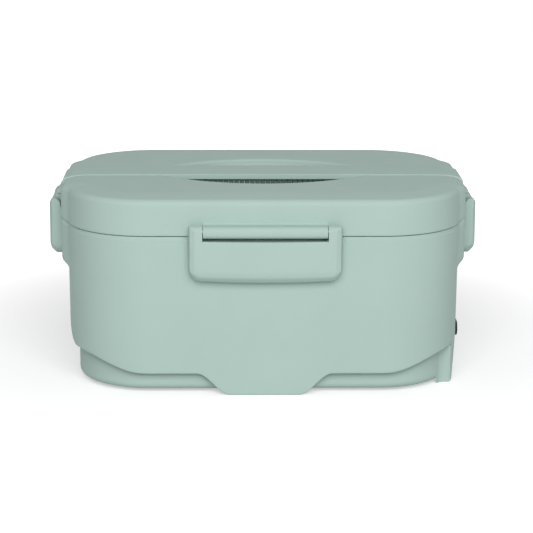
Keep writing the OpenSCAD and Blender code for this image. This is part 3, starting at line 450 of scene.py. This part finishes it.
@functools.cache
def finishes():
    """One material for each of the record's slots, made once."""
    colours = bpy.context.scene.lunch_box.finish
    return {
        "shell_plastic": moulded_plastic("green_polypropylene", colours.green, 0.6),
        "liner_plastic": moulded_plastic("liner_polypropylene", colours.liner, 0.4),
        "tray_plastic": moulded_plastic("tray_polypropylene", colours.tray, 0.28, 1400.0, 1e-5, 0.015),
        "black_plastic": moulded_plastic("black_nylon", colours.black, 0.35, 2000.0, 2e-5, 0.1),
        "foot_rubber": soft_rubber("foot_rubber", (0.04, 0.042, 0.042)),
        # Grip pad: a dark tone that is partly painted shade of the recess under the strap.
        "grip_rubber": soft_rubber("dark_grip_and_painted_shade", colours.dark),
        "seal_silicone": soft_rubber("seal_silicone", (0.78, 0.79, 0.78)),
        "container_steel": brushed_metal("drawn_steel", colours.steel, 0.34, (1.0, 1.0, 0.04)),
        "screw_steel": brushed_metal("zinc_steel", (0.6, 0.61, 0.62), 0.3, (1.0, 1.0, 0.2)),
        "plate_aluminium": brushed_metal("pressed_aluminium", (0.74, 0.75, 0.77), 0.38, (0.05, 1.0, 1.0)),
        "heater_ceramic": pressed_ceramic("heater_ceramic", (0.78, 0.74, 0.66)),
        "contact_brass": brushed_metal("contact_brass", (0.75, 0.58, 0.27), 0.25, (0.1, 1.0, 1.0)),
        "wire_brown": moulded_plastic("wire_brown", (0.2, 0.08, 0.045), 0.45, 1800.0, 2e-5, 0.08),
        "wire_blue": moulded_plastic("wire_blue", (0.045, 0.11, 0.33), 0.45, 1800.0, 2e-5, 0.08),
    }


# ---- Shared shapes of body and lid ----

def on_plan(body, centre, way, inset, height):
    """Rows of points round the shell: the centre plus (corner radius - inset) outwards, at a height."""
    plan = centre[:, None] + (body.corner - inset)[..., None] * way[:, None]
    return coords(plan[..., 0], plan[..., 1], height)


def boss_weight(body, foot):
    """1 over a boss's face, running in half a cosine wave down to 0 past its ends; 0 off the sides."""
    past = body.boss_half + body.boss_ramp + body.boss_past - np.abs(foot[:, 1:])
    on_side = np.abs(foot[:, :1]) > body.width / 2 - body.side_band
    return smooth(past / (body.boss_ramp + 1.5 * body.boss_past)) * on_side


def seam_height(body, y):
    """Top edge of the body: the seam, raised by half a cosine wave on the side bosses."""
    return body.seam + body.boss_step * smooth((body.boss_half + body.boss_ramp - np.abs(y)) / body.boss_ramp)


def lower_edge(body, foot):
    """Lower edge of the shell: on the table at the tongues, climbing in half cosine waves beside
    them, round the corners and into the side arches."""
    x, y = np.abs(foot.T)
    half_x, half_y = body.width / 2, body.depth / 2
    start, end = half_x - body.corner + body.corner_lead, half_x - body.corner_end
    front = body.edge_rise * smooth((x - body.tongue_half) / body.tongue_ramp)
    front = front + body.corner_rise * smooth((x - start) / (end - start))
    into_arch = smooth((half_y - body.corner + body.arch_lead - y) / body.arch_ramp)
    arch = body.edge_rise + body.corner_rise + body.arch_rise * into_arch
    return np.where(x > half_x - body.arch_band, np.maximum(front, arch), front)


def latch_half(latch, side):
    """Half width of the latch on a side, numbered as in wall_frame."""
    return latch.side_half if side % 2 else latch.half


def wall_frame(body, side):
    """Place of (along, out, up) on the wall behind latch side: 0 front, 1 right, 2 back, 3 left."""
    wide = side % 2 == 1
    base = body.width / 2 + body.boss_out if wide else body.depth / 2
    level = body.seam + (body.boss_step if wide else 0)
    c, s = round(math.cos(side * math.pi / 2)), round(math.sin(side * math.pi / 2))

    def place(along, out, up):
        x, y = along, -(base + out)
        return coords(c * x - s * y, s * x + c * y, level + up)
    return place


class SkinOperator:
    """What the operators share."""
    bl_options = {"REGISTER", "UNDO"}

    @staticmethod
    def sizes():
        return bpy.context.scene.lunch_box


# ---- Base ----

class MESH_OT_lunch_box_shell(SkinOperator, bpy.types.Operator):
    """Outer shell of the base, with its wavy lower edge, side bosses and catch ribs"""
    bl_idname = "mesh.lunch_box_shell"
    bl_label = "Outer Shell"

    def execute(self, context):
        box, body = self.sizes(), self.sizes().body
        centre, way = stations(body)
        edge, wall = body.edge, body.wall
        foot = centre + body.corner * way
        low = lower_edge(body, foot)[:, None]
        high = seam_height(body, foot[:, 1])[:, None]
        under, over = turn(edge, edge, edge, 270, 180, 5), self.top_edge(body)
        back_over = turn(wall - edge / 2, -edge / 2, edge / 2, 90, 0, 4)
        back_under = turn(wall - edge / 2, edge / 2, edge / 2, 0, -90, 4)
        rise = np.linspace(0, 1, box.wall_rows)[1:-1]
        outer = join([coords(under[:, 0], 0, under[:, 1]), coords(0, rise, edge + (over[0, 1] - edge) * rise),
                      coords(over[:, 0], 1, over[:, 1])])
        inner = join([coords(back_over[:, 0], 1, back_over[:, 1]), coords(wall, 1 - rise[::4], 0),
                      coords(back_under[:, 0], 0, back_under[:, 1])])
        inset, from_low, offset = join([outer, inner]).T
        z = low + (high - low) * from_low + offset
        points = on_plan(body, centre, way, inset + body.draft * (1 - z / body.seam), z)
        boss_z = body.seam - body.boss_drop
        rising = np.sin(np.pi / 2 * np.clip((z - boss_z) / body.boss_foot, 0, 1))
        rising[:, len(outer):] = 0
        out = body.width / 2 + body.boss_out - np.abs(foot[:, :1])
        points[..., 0] += np.sign(foot[:, :1]) * out * boss_weight(body, foot) * rising
        form = Form()
        form.grid(points, round_u=True, round_v=True)
        self.catch_ribs(form, body, box.latch)
        make_piece("outer_shell_skin", form, "base", "outer_shell")
        return {"FINISHED"}

    def top_edge(self, body):
        """Outer face's last millimetres: a shallow rebate, then a quarter turn onto the top edge."""
        depth, r = body.rebate, body.rebate_h / 2
        step = [[0, -body.rebate_h - depth], [depth / 2, -body.rebate_h - depth / 2], [depth, -body.rebate_h]]
        return join([step, turn(depth + r, -r, r, 180, 90, 5)])

    def catch_ribs(self, form, body, latch):
        """Ribs that the latches snap under: a rounded nose carried along each wall."""
        root, out, top, low, r, short = -0.001, 0.0017, -0.004, -0.006, 0.0007, 0.004
        nose = join([[[root, top]], turn(out, top - r, r, 90, 0, 4), turn(out, low + r, r, 0, -90, 4),
                     [[root, low]]])
        for side in range(4):
            eased_bar(form, nose, latch_half(latch, side) - latch.arm - short, wall_frame(body, side), 0.0006)


# ---- Lid ----

def lens_radius(lid, angle, grow):
    """Distance from the middle to the recess's outline, two equal arcs that meet in points, at an
    angle, for the outline grown by some distance."""
    radius = (lid.recess_x ** 2 + lid.recess_y ** 2) / (2 * lid.recess_y)
    off = radius - lid.recess_y
    return np.sqrt((radius + grow) ** 2 - (off * np.cos(angle)) ** 2) - off * np.abs(np.sin(angle))


def shoulder(body, lid, face, top, turn_count, run_count):
    """Top of a boss in (distance from the middle, height): a turn of 75 degrees off its face, then
    over to the border with a fall of (1 - t) to the power 3.5."""
    r = lid.shoulder_r
    round_off = turn(face - r, top - lid.shoulder_fall, r, 0, 75, turn_count)[1:]
    t = np.linspace(0, 1, run_count + 1)[1:]
    x, fall = round_off[-1, 0], top - round_off[-1, 1]
    run = coords(x + (body.width / 2 - lid.margin - x) * t, top - fall * (1 - t) ** 3.5)
    return join([round_off, run])


class MESH_OT_lunch_box_lid(SkinOperator, bpy.types.Operator):
    """Lid with its sloping border, side bosses, recess opening and hinge barrels"""
    bl_idname = "mesh.lunch_box_lid"
    bl_label = "Lid"

    def execute(self, context):
        body, lid, latch = self.sizes().body, self.sizes().lid, self.sizes().latch
        centre, way = stations(body)
        foot = centre + body.corner * way
        start = (seam_height(body, foot[:, 1]) + body.gap)[:, None]
        top = body.seam + lid.height
        flat, boss = self.wall_profile(body, lid, start, top)
        outer = on_plan(body, centre, way, flat[..., 0], flat[..., 1])
        raised = coords(np.sign(foot[:, :1]) * boss[..., 0], outer[..., 1], boss[..., 1])
        weight = boss_weight(body, foot)[..., None]
        outer = outer * (1 - weight) + raised * weight
        form = Form()
        form.grid(join([outer, self.inner_rows(body, lid, centre, way, start, top)], 1),
                  round_u=True, round_v=True)
        self.hinge_barrels(form, body, latch)
        make_piece("lid_skin", form, "lid", "lid_shell", sharp=30)
        return {"FINISHED"}

    def wall_profile(self, body, lid, start, top):
        """Rows of (inset, height) up the plain wall, round the edge and over the border, and of
        (distance from the middle, height) for the same rows over a boss."""
        edge, bend = 0.0005, lid.lean + lid.rounding
        slope = math.atan2(lid.margin_fall, lid.margin - bend)
        low = top - lid.margin_fall - lid.rounding
        t, s = np.linspace(0, 1, 12)[1:], np.linspace(0, 1, 17)[1:]
        foot = turn(edge, edge, edge, 270, 180, 4)
        arc = turn(bend, low, lid.rounding, 180, 90 + math.degrees(slope), 14)[1:]
        run = arc[-1] + ([lid.margin, top] - arc[-1]) * coords(s, self.ease_out(s))
        level, sill = np.ones_like(start), start + edge
        flat_in = join([foot[:, 0], lid.lean * t, arc[:, 0], run[:, 0]])
        flat_up = join([start + foot[:, 1], sill + (low - sill) * t, level * arc[:, 1], level * run[:, 1]], 1)
        face = body.width / 2 + body.boss_out
        over = shoulder(body, lid, face, top, 14, 16)
        boss_x = join([face - foot[:, 0], face + 0 * t, over[:, 0]])
        boss_wall = sill + (top - lid.shoulder_fall - sill) * t
        boss_up = join([start + foot[:, 1], boss_wall, level * over[:, 1]], 1)
        return coords(flat_in, flat_up), coords(boss_x, boss_up)

    def ease_out(self, s):
        """A straight climb that levels off over its last fifth."""
        last = 0.2
        bend = np.clip((s - 1 + last) / last, 0, 1)
        return (s - last * bend ** 2 / 2) / (1 - last / 2)

    def inner_rows(self, body, lid, centre, way, start, top):
        """Rows from the border over the flat top, down the recess's edge and back under the lid."""
        ring = centre + (body.corner - lid.margin) * way
        angle = np.arctan2(ring[:, 1], ring[:, 0])
        far = np.hypot(*ring.T)
        edge, under = lid.recess_edge, top - lid.wall
        brow = turn(edge, -edge, edge, 90, 180, 6)
        lens = [lens_radius(lid, angle, grow) for grow in (*brow[:, 0], 0)]
        rows = [(far * (1 - k) + lens[0] * k, top) for k in (0.15, 0.35, 0.55, 0.75, 0.9)]
        rows += [*zip(lens, (*(top + brow[:, 1]), under)), (far, under)]
        points = [coords(r * np.cos(angle), r * np.sin(angle), h) for r, h in rows]
        inner = [(0.004, under - 0.0015), (0.0012, under - 0.004), (0, under - 0.008), (0, start[:, 0])]
        for past_wall, height in inner:
            plan = centre + (body.corner - lid.wall - past_wall) * way
            points.append(coords(*plan.T, height))
        return np.stack(points, 1)

    def hinge_barrels(self, form, body, latch):
        """Half-round barrels along the walls. The lower half of the front and back ones lies further
        down, and those on the sides carry a hood up to the strap's end."""
        out, up, r = latch.out - latch.arm_r, latch.axis_up, latch.barrel_r
        root, cove, brow = -0.001, 0.0012, up + latch.hood
        fillet = turn(cove, up + r + cove, cove, 180, 270, 5)
        plain = join([[[root, fillet[0, 1]]], fillet, turn(out, up, r, 90, 0),
                      turn(out, up - latch.sag, r, 0, -90), [[root, up - latch.sag - r]]])
        hooded = join([[[root, brow], [0.0042, brow], [0.0046, up + 0.0036]],
                       turn(out, up, r, 49, -90, 14), [[root, up - r]]])
        for side, loop in enumerate((plain, hooded, plain, hooded)):
            half = latch_half(latch, side) - latch.arm - latch.play
            eased_bar(form, soften(loop, 0.0006, 0.0004), half, wall_frame(body, side), 0.0004)


class MESH_OT_lunch_box_strap(SkinOperator, bpy.types.Operator):
    """Strap over the lid: a rounded flat section carried over its crown and down the bosses"""
    bl_idname = "mesh.lunch_box_strap"
    bl_label = "Handle Strap"

    def execute(self, context):
        box = self.sizes()
        outer, inner = self.side_view(box.body, box.lid, box.latch)
        into = inner - outer
        thick = np.hypot(*into.T)[:, None]
        half, edge, low_edge = box.lid.strap_half, 0.0005, 0.0004
        flat = coords(np.linspace(half - edge, edge - half, 9)[1:-1], 0)
        top = join([turn(half - edge, edge, edge, 0, -90, 6), flat,
                    turn(edge - half, edge, edge, -90, -180, 6)])
        section = join([top, turn(low_edge - half, -low_edge, low_edge, 180, 90, 4),
                        turn(half - low_edge, -low_edge, low_edge, 90, 0, 4)])
        depth = section[:, 1] / thick + (np.arange(len(section)) >= len(top))
        points = outer[:, None] + into[:, None] * depth[..., None]
        form = Form()
        form.loft(coords(points[..., 0], section[:, 0], points[..., 1]))
        make_piece("handle_strap_skin", form, "lid", "handle_strap", sharp=50)
        return {"FINISHED"}

    def side_view(self, body, lid, latch):
        """Side view of the strap from end to end: its outer side is a shallow crown, the bosses'
        shoulder lifted and moved out, a straight drop and a flare at the foot; each of its points
        has one on the inner side, at the same share of that side's length."""
        lid_top = body.seam + lid.height
        top = lid_top + lid.strap_proud
        face = body.width / 2 + body.boss_out + lid.strap_out
        tail = body.seam + body.boss_step + latch.axis_up + latch.hood + 0.0003
        flat_end = body.width / 2 - lid.margin
        x = np.linspace(0, flat_end, 30)[:-1]
        crown = coords(x, top + lid.strap_crown * (1 - (x / flat_end) ** 2))
        over = shoulder(body, lid, face, top, 10, 20)[::-1]
        flare = [[0, top - lid.shoulder_fall], [0, tail + 0.003], [0.0016, tail + 0.0026],
                 [0.0026, tail + 0.0016], [0.0031, tail]]
        outer = soften(join([crown, over, np.array(flare) + [face, 0]]), 0.0008, 0.0006)
        inner_x, under = face - lid.strap_end_t, top + lid.strap_crown - lid.strap_t
        bend = np.array([[flat_end, under], [inner_x - 0.0055, lid_top - 0.0033],
                         [inner_x, lid_top - 0.0062]])
        first, last = np.argmax(outer[:, 0] > flat_end), np.argmax(outer[:, 1] < top - lid.shoulder_fall)
        inner = outer.copy()
        inner[:first, 1] = under
        inner[first:last] = self.beside(outer[first:last], bend)
        inner[last:] = self.beside(outer[last:], np.array([bend[-1], [inner_x, tail]]))
        return [join([line[:0:-1] * [-1, 1], line]) for line in (outer, inner)]

    def beside(self, points, line):
        """Points of a line at the same shares of its length as those of other points."""
        share, own = travel(points), travel(line)
        return coords(*[np.interp(share / share[-1], own / own[-1], axis) for axis in line.T])


class MESH_OT_lunch_box_grip(SkinOperator, bpy.types.Operator):
    """Finger recess under the strap: its cup and the ribbed pad on the strap's underside"""
    bl_idname = "mesh.lunch_box_grip"
    bl_label = "Grip"

    def execute(self, context):
        box = self.sizes()
        self.cup(box.body, box.lid)
        self.pad(box.body, box.lid)
        return {"FINISHED"}

    def cup(self, body, lid):
        """Cup with a pointed oval plan: its profile of (growth, height) is carried round the outline
        and runs to the middle of the floor, inside and out."""
        top, floor, wall, bend = body.seam + lid.height - lid.wall, lid.cup_floor, 0.0016, 0.003
        inside = turn(-lid.cup_lean - bend, floor + bend, bend, 0, -90, 8)
        outside = turn(0, floor - wall + 0.001, wall, -60, 0, 4)
        rows = join([outside, [[wall, top], [0, top]], inside])
        angle = np.linspace(0, 2 * np.pi, 240, endpoint=False)
        radius = np.stack([lens_radius(lid, angle, grow) for grow in rows[:, 0]])
        spans = np.array([[0.75], [0.5], [0.25], [0.08]])
        radius = join([radius[:1] * spans[::-1], radius, radius[-1:] * spans])
        ends = np.ones(len(spans))
        height = join([ends * (floor - wall), rows[:, 1], ends * floor])[:, None]
        form = Form()
        form.loft(coords(radius * np.cos(angle), radius * np.sin(angle), height))
        make_piece("grip_cup_skin", form, "lid", "grip_cup")

    def pad(self, body, lid):
        """Backing strip and one rounded bar for each rib."""
        under = body.seam + lid.height + lid.strap_proud + lid.strap_crown - lid.strap_t
        side, backing, reach, edge = lid.strap_half - 0.0018, 0.001, 0.05, 0.0004
        count = int(reach / lid.rib_pitch + 1e-6)
        half = count * lid.rib_pitch + lid.rib_w / 2
        form = Form()
        rounded_box(form, (-half, -side, under - backing), (half, side, under), edge)
        for x in lid.rib_pitch * np.arange(-count, count + 1):
            rounded_box(form, (x - lid.rib_w / 2, -side, under - lid.pad_t),
                        (x + lid.rib_w / 2, side, under - backing / 2), edge, 3)
        # The pad's dark finish partly paints the shade under the strap.
        make_piece("strap_pad_skin", form, "lid", "strap_pad", "grip_rubber")


# ---- Latches ----

class MESH_OT_lunch_box_latches(SkinOperator, bpy.types.Operator):
    """The four clip latches: side views carried across the width of each"""
    bl_idname = "mesh.lunch_box_latches"
    bl_label = "Latches"

    def execute(self, context):
        box = self.sizes()
        for side, name in enumerate(("front", "right", "back", "left")):
            form = Form()
            drop = box.latch.side_drop if side % 2 else box.latch.drop
            self.plate(form, box.latch, latch_half(box.latch, side), drop, wall_frame(box.body, side))
            make_piece(f"latch_{name}_skin", form, f"{name}_latch", f"latch_{name}", sharp=28)
        return {"FINISHED"}

    def plate(self, form, latch, half, drop, place):
        """Side view of (out, up) at each place across: the plate with its turned-in lower edge, which
        in the arms runs on round the hinge and at the two sides is solid to the wall. The sides widen
        evenly towards the wall by the splay."""
        inner, side, low = half - latch.arm, half - latch.wall - 1e-9, -drop
        window, arm, end = self.side_views(latch, low)
        ease = 0.0005
        last = half - ease * (1 - np.sin(np.radians(np.linspace(0, 90, 5))))
        rim = join([np.linspace(half - latch.corner, last[0], 14)[:-1], last])
        in_arm = [np.linspace(inner, half - latch.wall, 5), rim[(rim > inner) & (rim <= side)]]
        spots = [(np.linspace(0, inner, 12), window), (np.unique(join(in_arm)), arm), (rim[rim > side], end)]
        across = join([places for places, _ in spots])
        loops = join([np.repeat(view[None], len(places), 0) for places, view in spots])
        self.trim(loops, across, latch, half, low)
        drawn = turned_in(across - last[0], ease)
        middle = [(latch.out + latch.gap) / 2, -0.008]
        spokes = loops - middle
        size = np.maximum(np.linalg.norm(spokes, axis=-1, keepdims=True), 1e-6)
        loops = middle + spokes * (1 - drawn[:, None, None] / size)
        loops, across = join([loops[:0:-1], loops]), join([-across[:0:-1], across])
        beside = np.clip((np.abs(across) - half) / latch.corner + 1, 0, 1) * np.sign(across)
        wider = latch.splay * beside[:, None] * (1 - loops[..., 0] / latch.out)
        form.loft(place(across[:, None] + wider, loops[..., 0], loops[..., 1]))
        root = latch.out - latch.wall + 0.0005
        ridge = np.array([[root, -0.0063], [0.0030, -0.0063], [0.00265, -0.0067], [0.00265, -0.0078],
                          [0.0034, -0.0087], [root, -0.0087]])
        eased_bar(form, ridge, inner - 0.002, place, 0.0003)

    def side_views(self, latch, low):
        """Loops of (out, up), with as many points in each: through the window, an arm and a side."""
        gap, skin, wall = latch.gap, latch.out, latch.wall
        back = skin - wall
        face = np.array([[gap, low], [skin - 0.0034, low], [skin - 0.0006, low + 0.003], [skin, low + 0.006],
                         [skin, -latch.sill - 0.0012]])
        face = soften(face, 0.0006, 0.0009)
        edge, back_edge, steps = 0.0008, 0.0003, 9
        sill = join([turn(skin - edge, -latch.sill - edge, edge, 0, 90, steps),
                     turn(back + back_edge, -latch.sill - back_edge, back_edge, 90, 180, steps)])
        hinge = turn(skin - latch.arm_r, latch.axis_up, latch.arm_r, 0, 180, len(sill) - 1)
        web = coords(back, [-0.0022, -0.003, -0.004, -0.006])
        arm_back = [[gap, 0.001], [gap, -0.002], [back - 0.001, -0.0052], [back, -0.006]]
        end_back = coords(gap, [0, -0.002, -0.004, -0.006])
        inside = [[back, -0.010], [back, low + wall + 0.002], [back - 0.001, low + wall], [gap, low + wall]]
        solid = coords(gap, [-0.010, -0.014, -0.018, low + wall])
        return (join([face, sill, web, inside]), join([face, hinge, arm_back, inside]),
                join([face, hinge, end_back, solid]))

    def trim(self, loops, across, latch, half, low):
        """Cuts the bevel along the sides, rounds the lower corners, bows the lower edge as the square
        of the place across and the window's edge as one minus that square."""
        inner = half - latch.arm
        bevel = latch.bevel_in * np.clip((across - half) / latch.bevel + 1, 0, 1)
        loops[..., 0] = np.minimum(loops[..., 0], (latch.out - bevel)[:, None])
        lift = turned_in(across - half + latch.corner, latch.corner) + latch.low_bow * (across / half) ** 2
        share = np.clip(1 - (loops[..., 1] - low) / (2.2 * latch.corner), 0, 1)
        loops[..., 1] += lift[:, None] * share
        bow = latch.bow * (1 - (across / inner) ** 2) * (np.abs(across) < inner - 1e-6)
        near_top = np.clip(1 + loops[..., 1] / 0.006, 0, 1) * (loops[..., 1] <= 0)
        loops[..., 1] -= bow[:, None] * near_top


# ---- Inlet ----

class MESH_OT_lunch_box_inlet(SkinOperator, bpy.types.Operator):
    """Black mains inlet: a stadium profile carried from its rear over the bezel into the socket"""
    bl_idname = "mesh.lunch_box_inlet"
    bl_label = "Inlet"

    def execute(self, context):
        inlet = self.sizes().inlet
        back, front = [corner.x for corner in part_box("ac_inlet")]
        seat, step = front - inlet.flange, front - 0.0012
        ledge, lip, mouth, r, small_r = inlet.ledge, inlet.lip, inlet.half - inlet.mouth_half, 0.0004, 0.0003
        rows = join([[[ledge, back], [ledge, seat], [0, seat], [0, step - r]],
                     turn(r, step - r, r, 180, 90, 3),
                     turn(lip - 0.0002, step + small_r, small_r, 270, 360, 3)[1:2],
                     turn(lip + r, front - r, r, 180, 90, 4),
                     turn(mouth - small_r, front - small_r, small_r, 90, 0, 3),
                     [[mouth, front - inlet.depth]]])
        angle = np.linspace(0, 2 * np.pi, 96, endpoint=False)
        form = Form()
        form.loft(np.stack([self.stadium(inlet, angle, inset, x) for inset, x in rows]))
        make_piece("ac_inlet_skin", form, "base", "ac_inlet", "black_plastic")
        return {"FINISHED"}

    def stadium(self, inlet, angle, inset, x):
        """Loop at x round a bar with round ends, drawn in from the bezel's outline by an inset."""
        share = min(inset / (inlet.half - inlet.mouth_half), 1)
        rise = inlet.rise - share * (inlet.rise - inlet.mouth_rise)
        flat = inlet.half - inset - rise
        y = rise * np.cos(angle) + flat * np.sign(np.cos(angle)) * (np.abs(np.cos(angle)) > 1e-6)
        return coords(x, inlet.place_y + y, inlet.place_z + rise * np.sin(angle))


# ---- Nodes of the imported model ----

class OBJECT_OT_lunch_box_finishes(SkinOperator, bpy.types.Operator):
    """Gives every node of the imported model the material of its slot"""
    bl_idname = "object.lunch_box_finishes"
    bl_label = "Finishes"

    def execute(self, context):
        slots = {part["node"]: part["material_slot"] for part in frame["record"]["subparts"]}
        for name, node in frame["nodes"].items():
            node.data.materials.clear()
            node.data.materials.append(finishes()[slots[name]])
        return {"FINISHED"}


# ---- Stage ----

class SCENE_OT_lunch_box_stage(SkinOperator, bpy.types.Operator):
    """Camera, one soft light, white surroundings and the pale floor"""
    bl_idname = "scene.lunch_box_stage"
    bl_label = "Stage"

    def execute(self, context):
        stage = self.sizes().stage
        self.camera(stage)
        self.light(stage)
        self.surroundings(stage)
        self.floor(stage)
        return {"FINISHED"}

    def camera(self, stage):
        """Camera aimed at its target and turned by a roll about its line of sight."""
        data = bpy.data.cameras.new("camera")
        data.lens, data.sensor_width = stage.lens, 36
        camera = add_object("camera", data)
        camera.location = stage.eye
        aim = (Vector(stage.target) - Vector(stage.eye)).to_track_quat("-Z", "Y")
        camera.rotation_euler = (aim @ Quaternion((0, 0, 1), stage.roll)).to_euler()
        bpy.context.scene.camera = camera

    def light(self, stage):
        """Large soft light in front and above, aimed at the middle of the object."""
        place, middle = Vector((0.06, -1.65, 1.1)), Vector((0, 0, 0.06))
        data = bpy.data.lights.new("front_light", "AREA")
        data.shape, data.size, data.size_y, data.energy = "RECTANGLE", 1.8, 1.1, stage.front
        lamp = add_object("front_light", data)
        lamp.location = place
        lamp.rotation_euler = (middle - place).to_track_quat("-Z", "Y").to_euler()

    def seen(self, tree):
        """1 for rays from the camera, a mirror or glass, 0 for the rest."""
        path, clamped_sum = put(tree, "LightPath").outputs, {"operation": "ADD", "use_clamp": True}
        total = put(tree, "Math", clamped_sum, path["Is Camera Ray"], path["Is Glossy Ray"]).outputs[0]
        return put(tree, "Math", clamped_sum, total, path["Is Transmission Ray"]).outputs[0]

    def surroundings(self, stage):
        """White to the camera, and dimmer as a light on the object."""
        world = bpy.data.worlds.new("surroundings")
        world.use_nodes = True
        tree = world.node_tree
        background = tree.nodes["Background"]
        background.inputs["Color"].default_value = (1, 1, 1, 1)
        strength = put(tree, "MapRange", Value=self.seen(tree), To_Min=stage.around, To_Max=1.0)
        tree.links.new(strength.outputs["Result"], background.inputs["Strength"])
        bpy.context.scene.world = world
        bpy.context.scene.view_settings.view_transform = "Standard"

    def fade(self, tree, stage):
        """The floor's glow, rising to full white with the distance from the object; the lower glow near the
        object is painted shade round the base, added to the real shadow the floor takes.
        """
        far = put(tree, "VectorMath", {"operation": "LENGTH"}, put(tree, "TexCoord").outputs["Object"])
        rise = put(tree, "MapRange", {"interpolation_type": "SMOOTHSTEP"}, Value=far.outputs["Value"],
                   From_Min=stage.glow_from, From_Max=stage.glow_to, To_Min=stage.glow, To_Max=1.0)
        return rise.outputs["Result"]

    def floor(self, stage):
        """Square floor that takes the shadow and glows to the camera, less near the object as painted shade.
        """
        half = stage.floor_half
        mesh = bpy.data.meshes.new("floor")
        mesh.from_pydata([(-half, -half, 0), (half, -half, 0), (half, half, 0), (-half, half, 0)], [],
                         [(0, 1, 2, 3)])
        material = bpy.data.materials.new("floor_white")
        material.use_nodes = True
        tree = material.node_tree
        tree.nodes.remove(tree.nodes["Principled BSDF"])
        glow = put(tree, "Math", {"operation": "MULTIPLY"}, self.seen(tree), self.fade(tree, stage))
        lit = put(tree, "BsdfDiffuse", Color=(0.8, 0.8, 0.8, 1))
        glowing = put(tree, "Emission", Strength=glow.outputs[0])
        both = put(tree, "AddShader", None, lit.outputs[0], glowing.outputs[0])
        tree.links.new(both.outputs[0], tree.nodes["Material Output"].inputs["Surface"])
        mesh.materials.append(material)
        floor = add_object("floor", mesh)


# ---- Panel and registration ----

class VIEW3D_PT_lunch_box(bpy.types.Panel):
    """Buttons for every piece of the lunch box"""
    bl_idname = "VIEW3D_PT_lunch_box"
    bl_label = "Lunch Box"
    bl_space_type = "VIEW_3D"
    bl_region_type = "UI"
    bl_category = "Lunch Box"

    def draw(self, context):
        layout = self.layout
        for operator in OPERATORS:
            layout.operator(operator.bl_idname)
        box = context.scene.lunch_box
        layout.prop(box, "wall_rows")
        for group in (box.body, box.lid, box.latch, box.inlet, box.finish, box.stage):
            for name in group.__annotations__:
                layout.prop(group, name)


OPERATORS = (MESH_OT_lunch_box_shell, MESH_OT_lunch_box_lid, MESH_OT_lunch_box_strap, MESH_OT_lunch_box_grip,
             MESH_OT_lunch_box_latches, MESH_OT_lunch_box_inlet, OBJECT_OT_lunch_box_finishes,
             SCENE_OT_lunch_box_stage)
CLASSES = (LunchBoxBody, LunchBoxLid, LunchBoxLatch, LunchBoxInlet, LunchBoxFinish, LunchBoxStage, LunchBox,
           *OPERATORS, VIEW3D_PT_lunch_box)


def register():
    for cls in CLASSES:
        bpy.utils.register_class(cls)
    bpy.types.Scene.lunch_box = PointerProperty(type=LunchBox)


def unregister():
    del bpy.types.Scene.lunch_box
    for cls in reversed(CLASSES):
        bpy.utils.unregister_class(cls)


def main():
    register()
    bpy.ops.object.lunch_box_finishes()
    bpy.ops.mesh.lunch_box_shell()
    bpy.ops.mesh.lunch_box_lid()
    bpy.ops.mesh.lunch_box_strap()
    bpy.ops.mesh.lunch_box_grip()
    bpy.ops.mesh.lunch_box_latches()
    bpy.ops.mesh.lunch_box_inlet()
    bpy.ops.scene.lunch_box_stage()


if __name__ == "__main__":
    main()
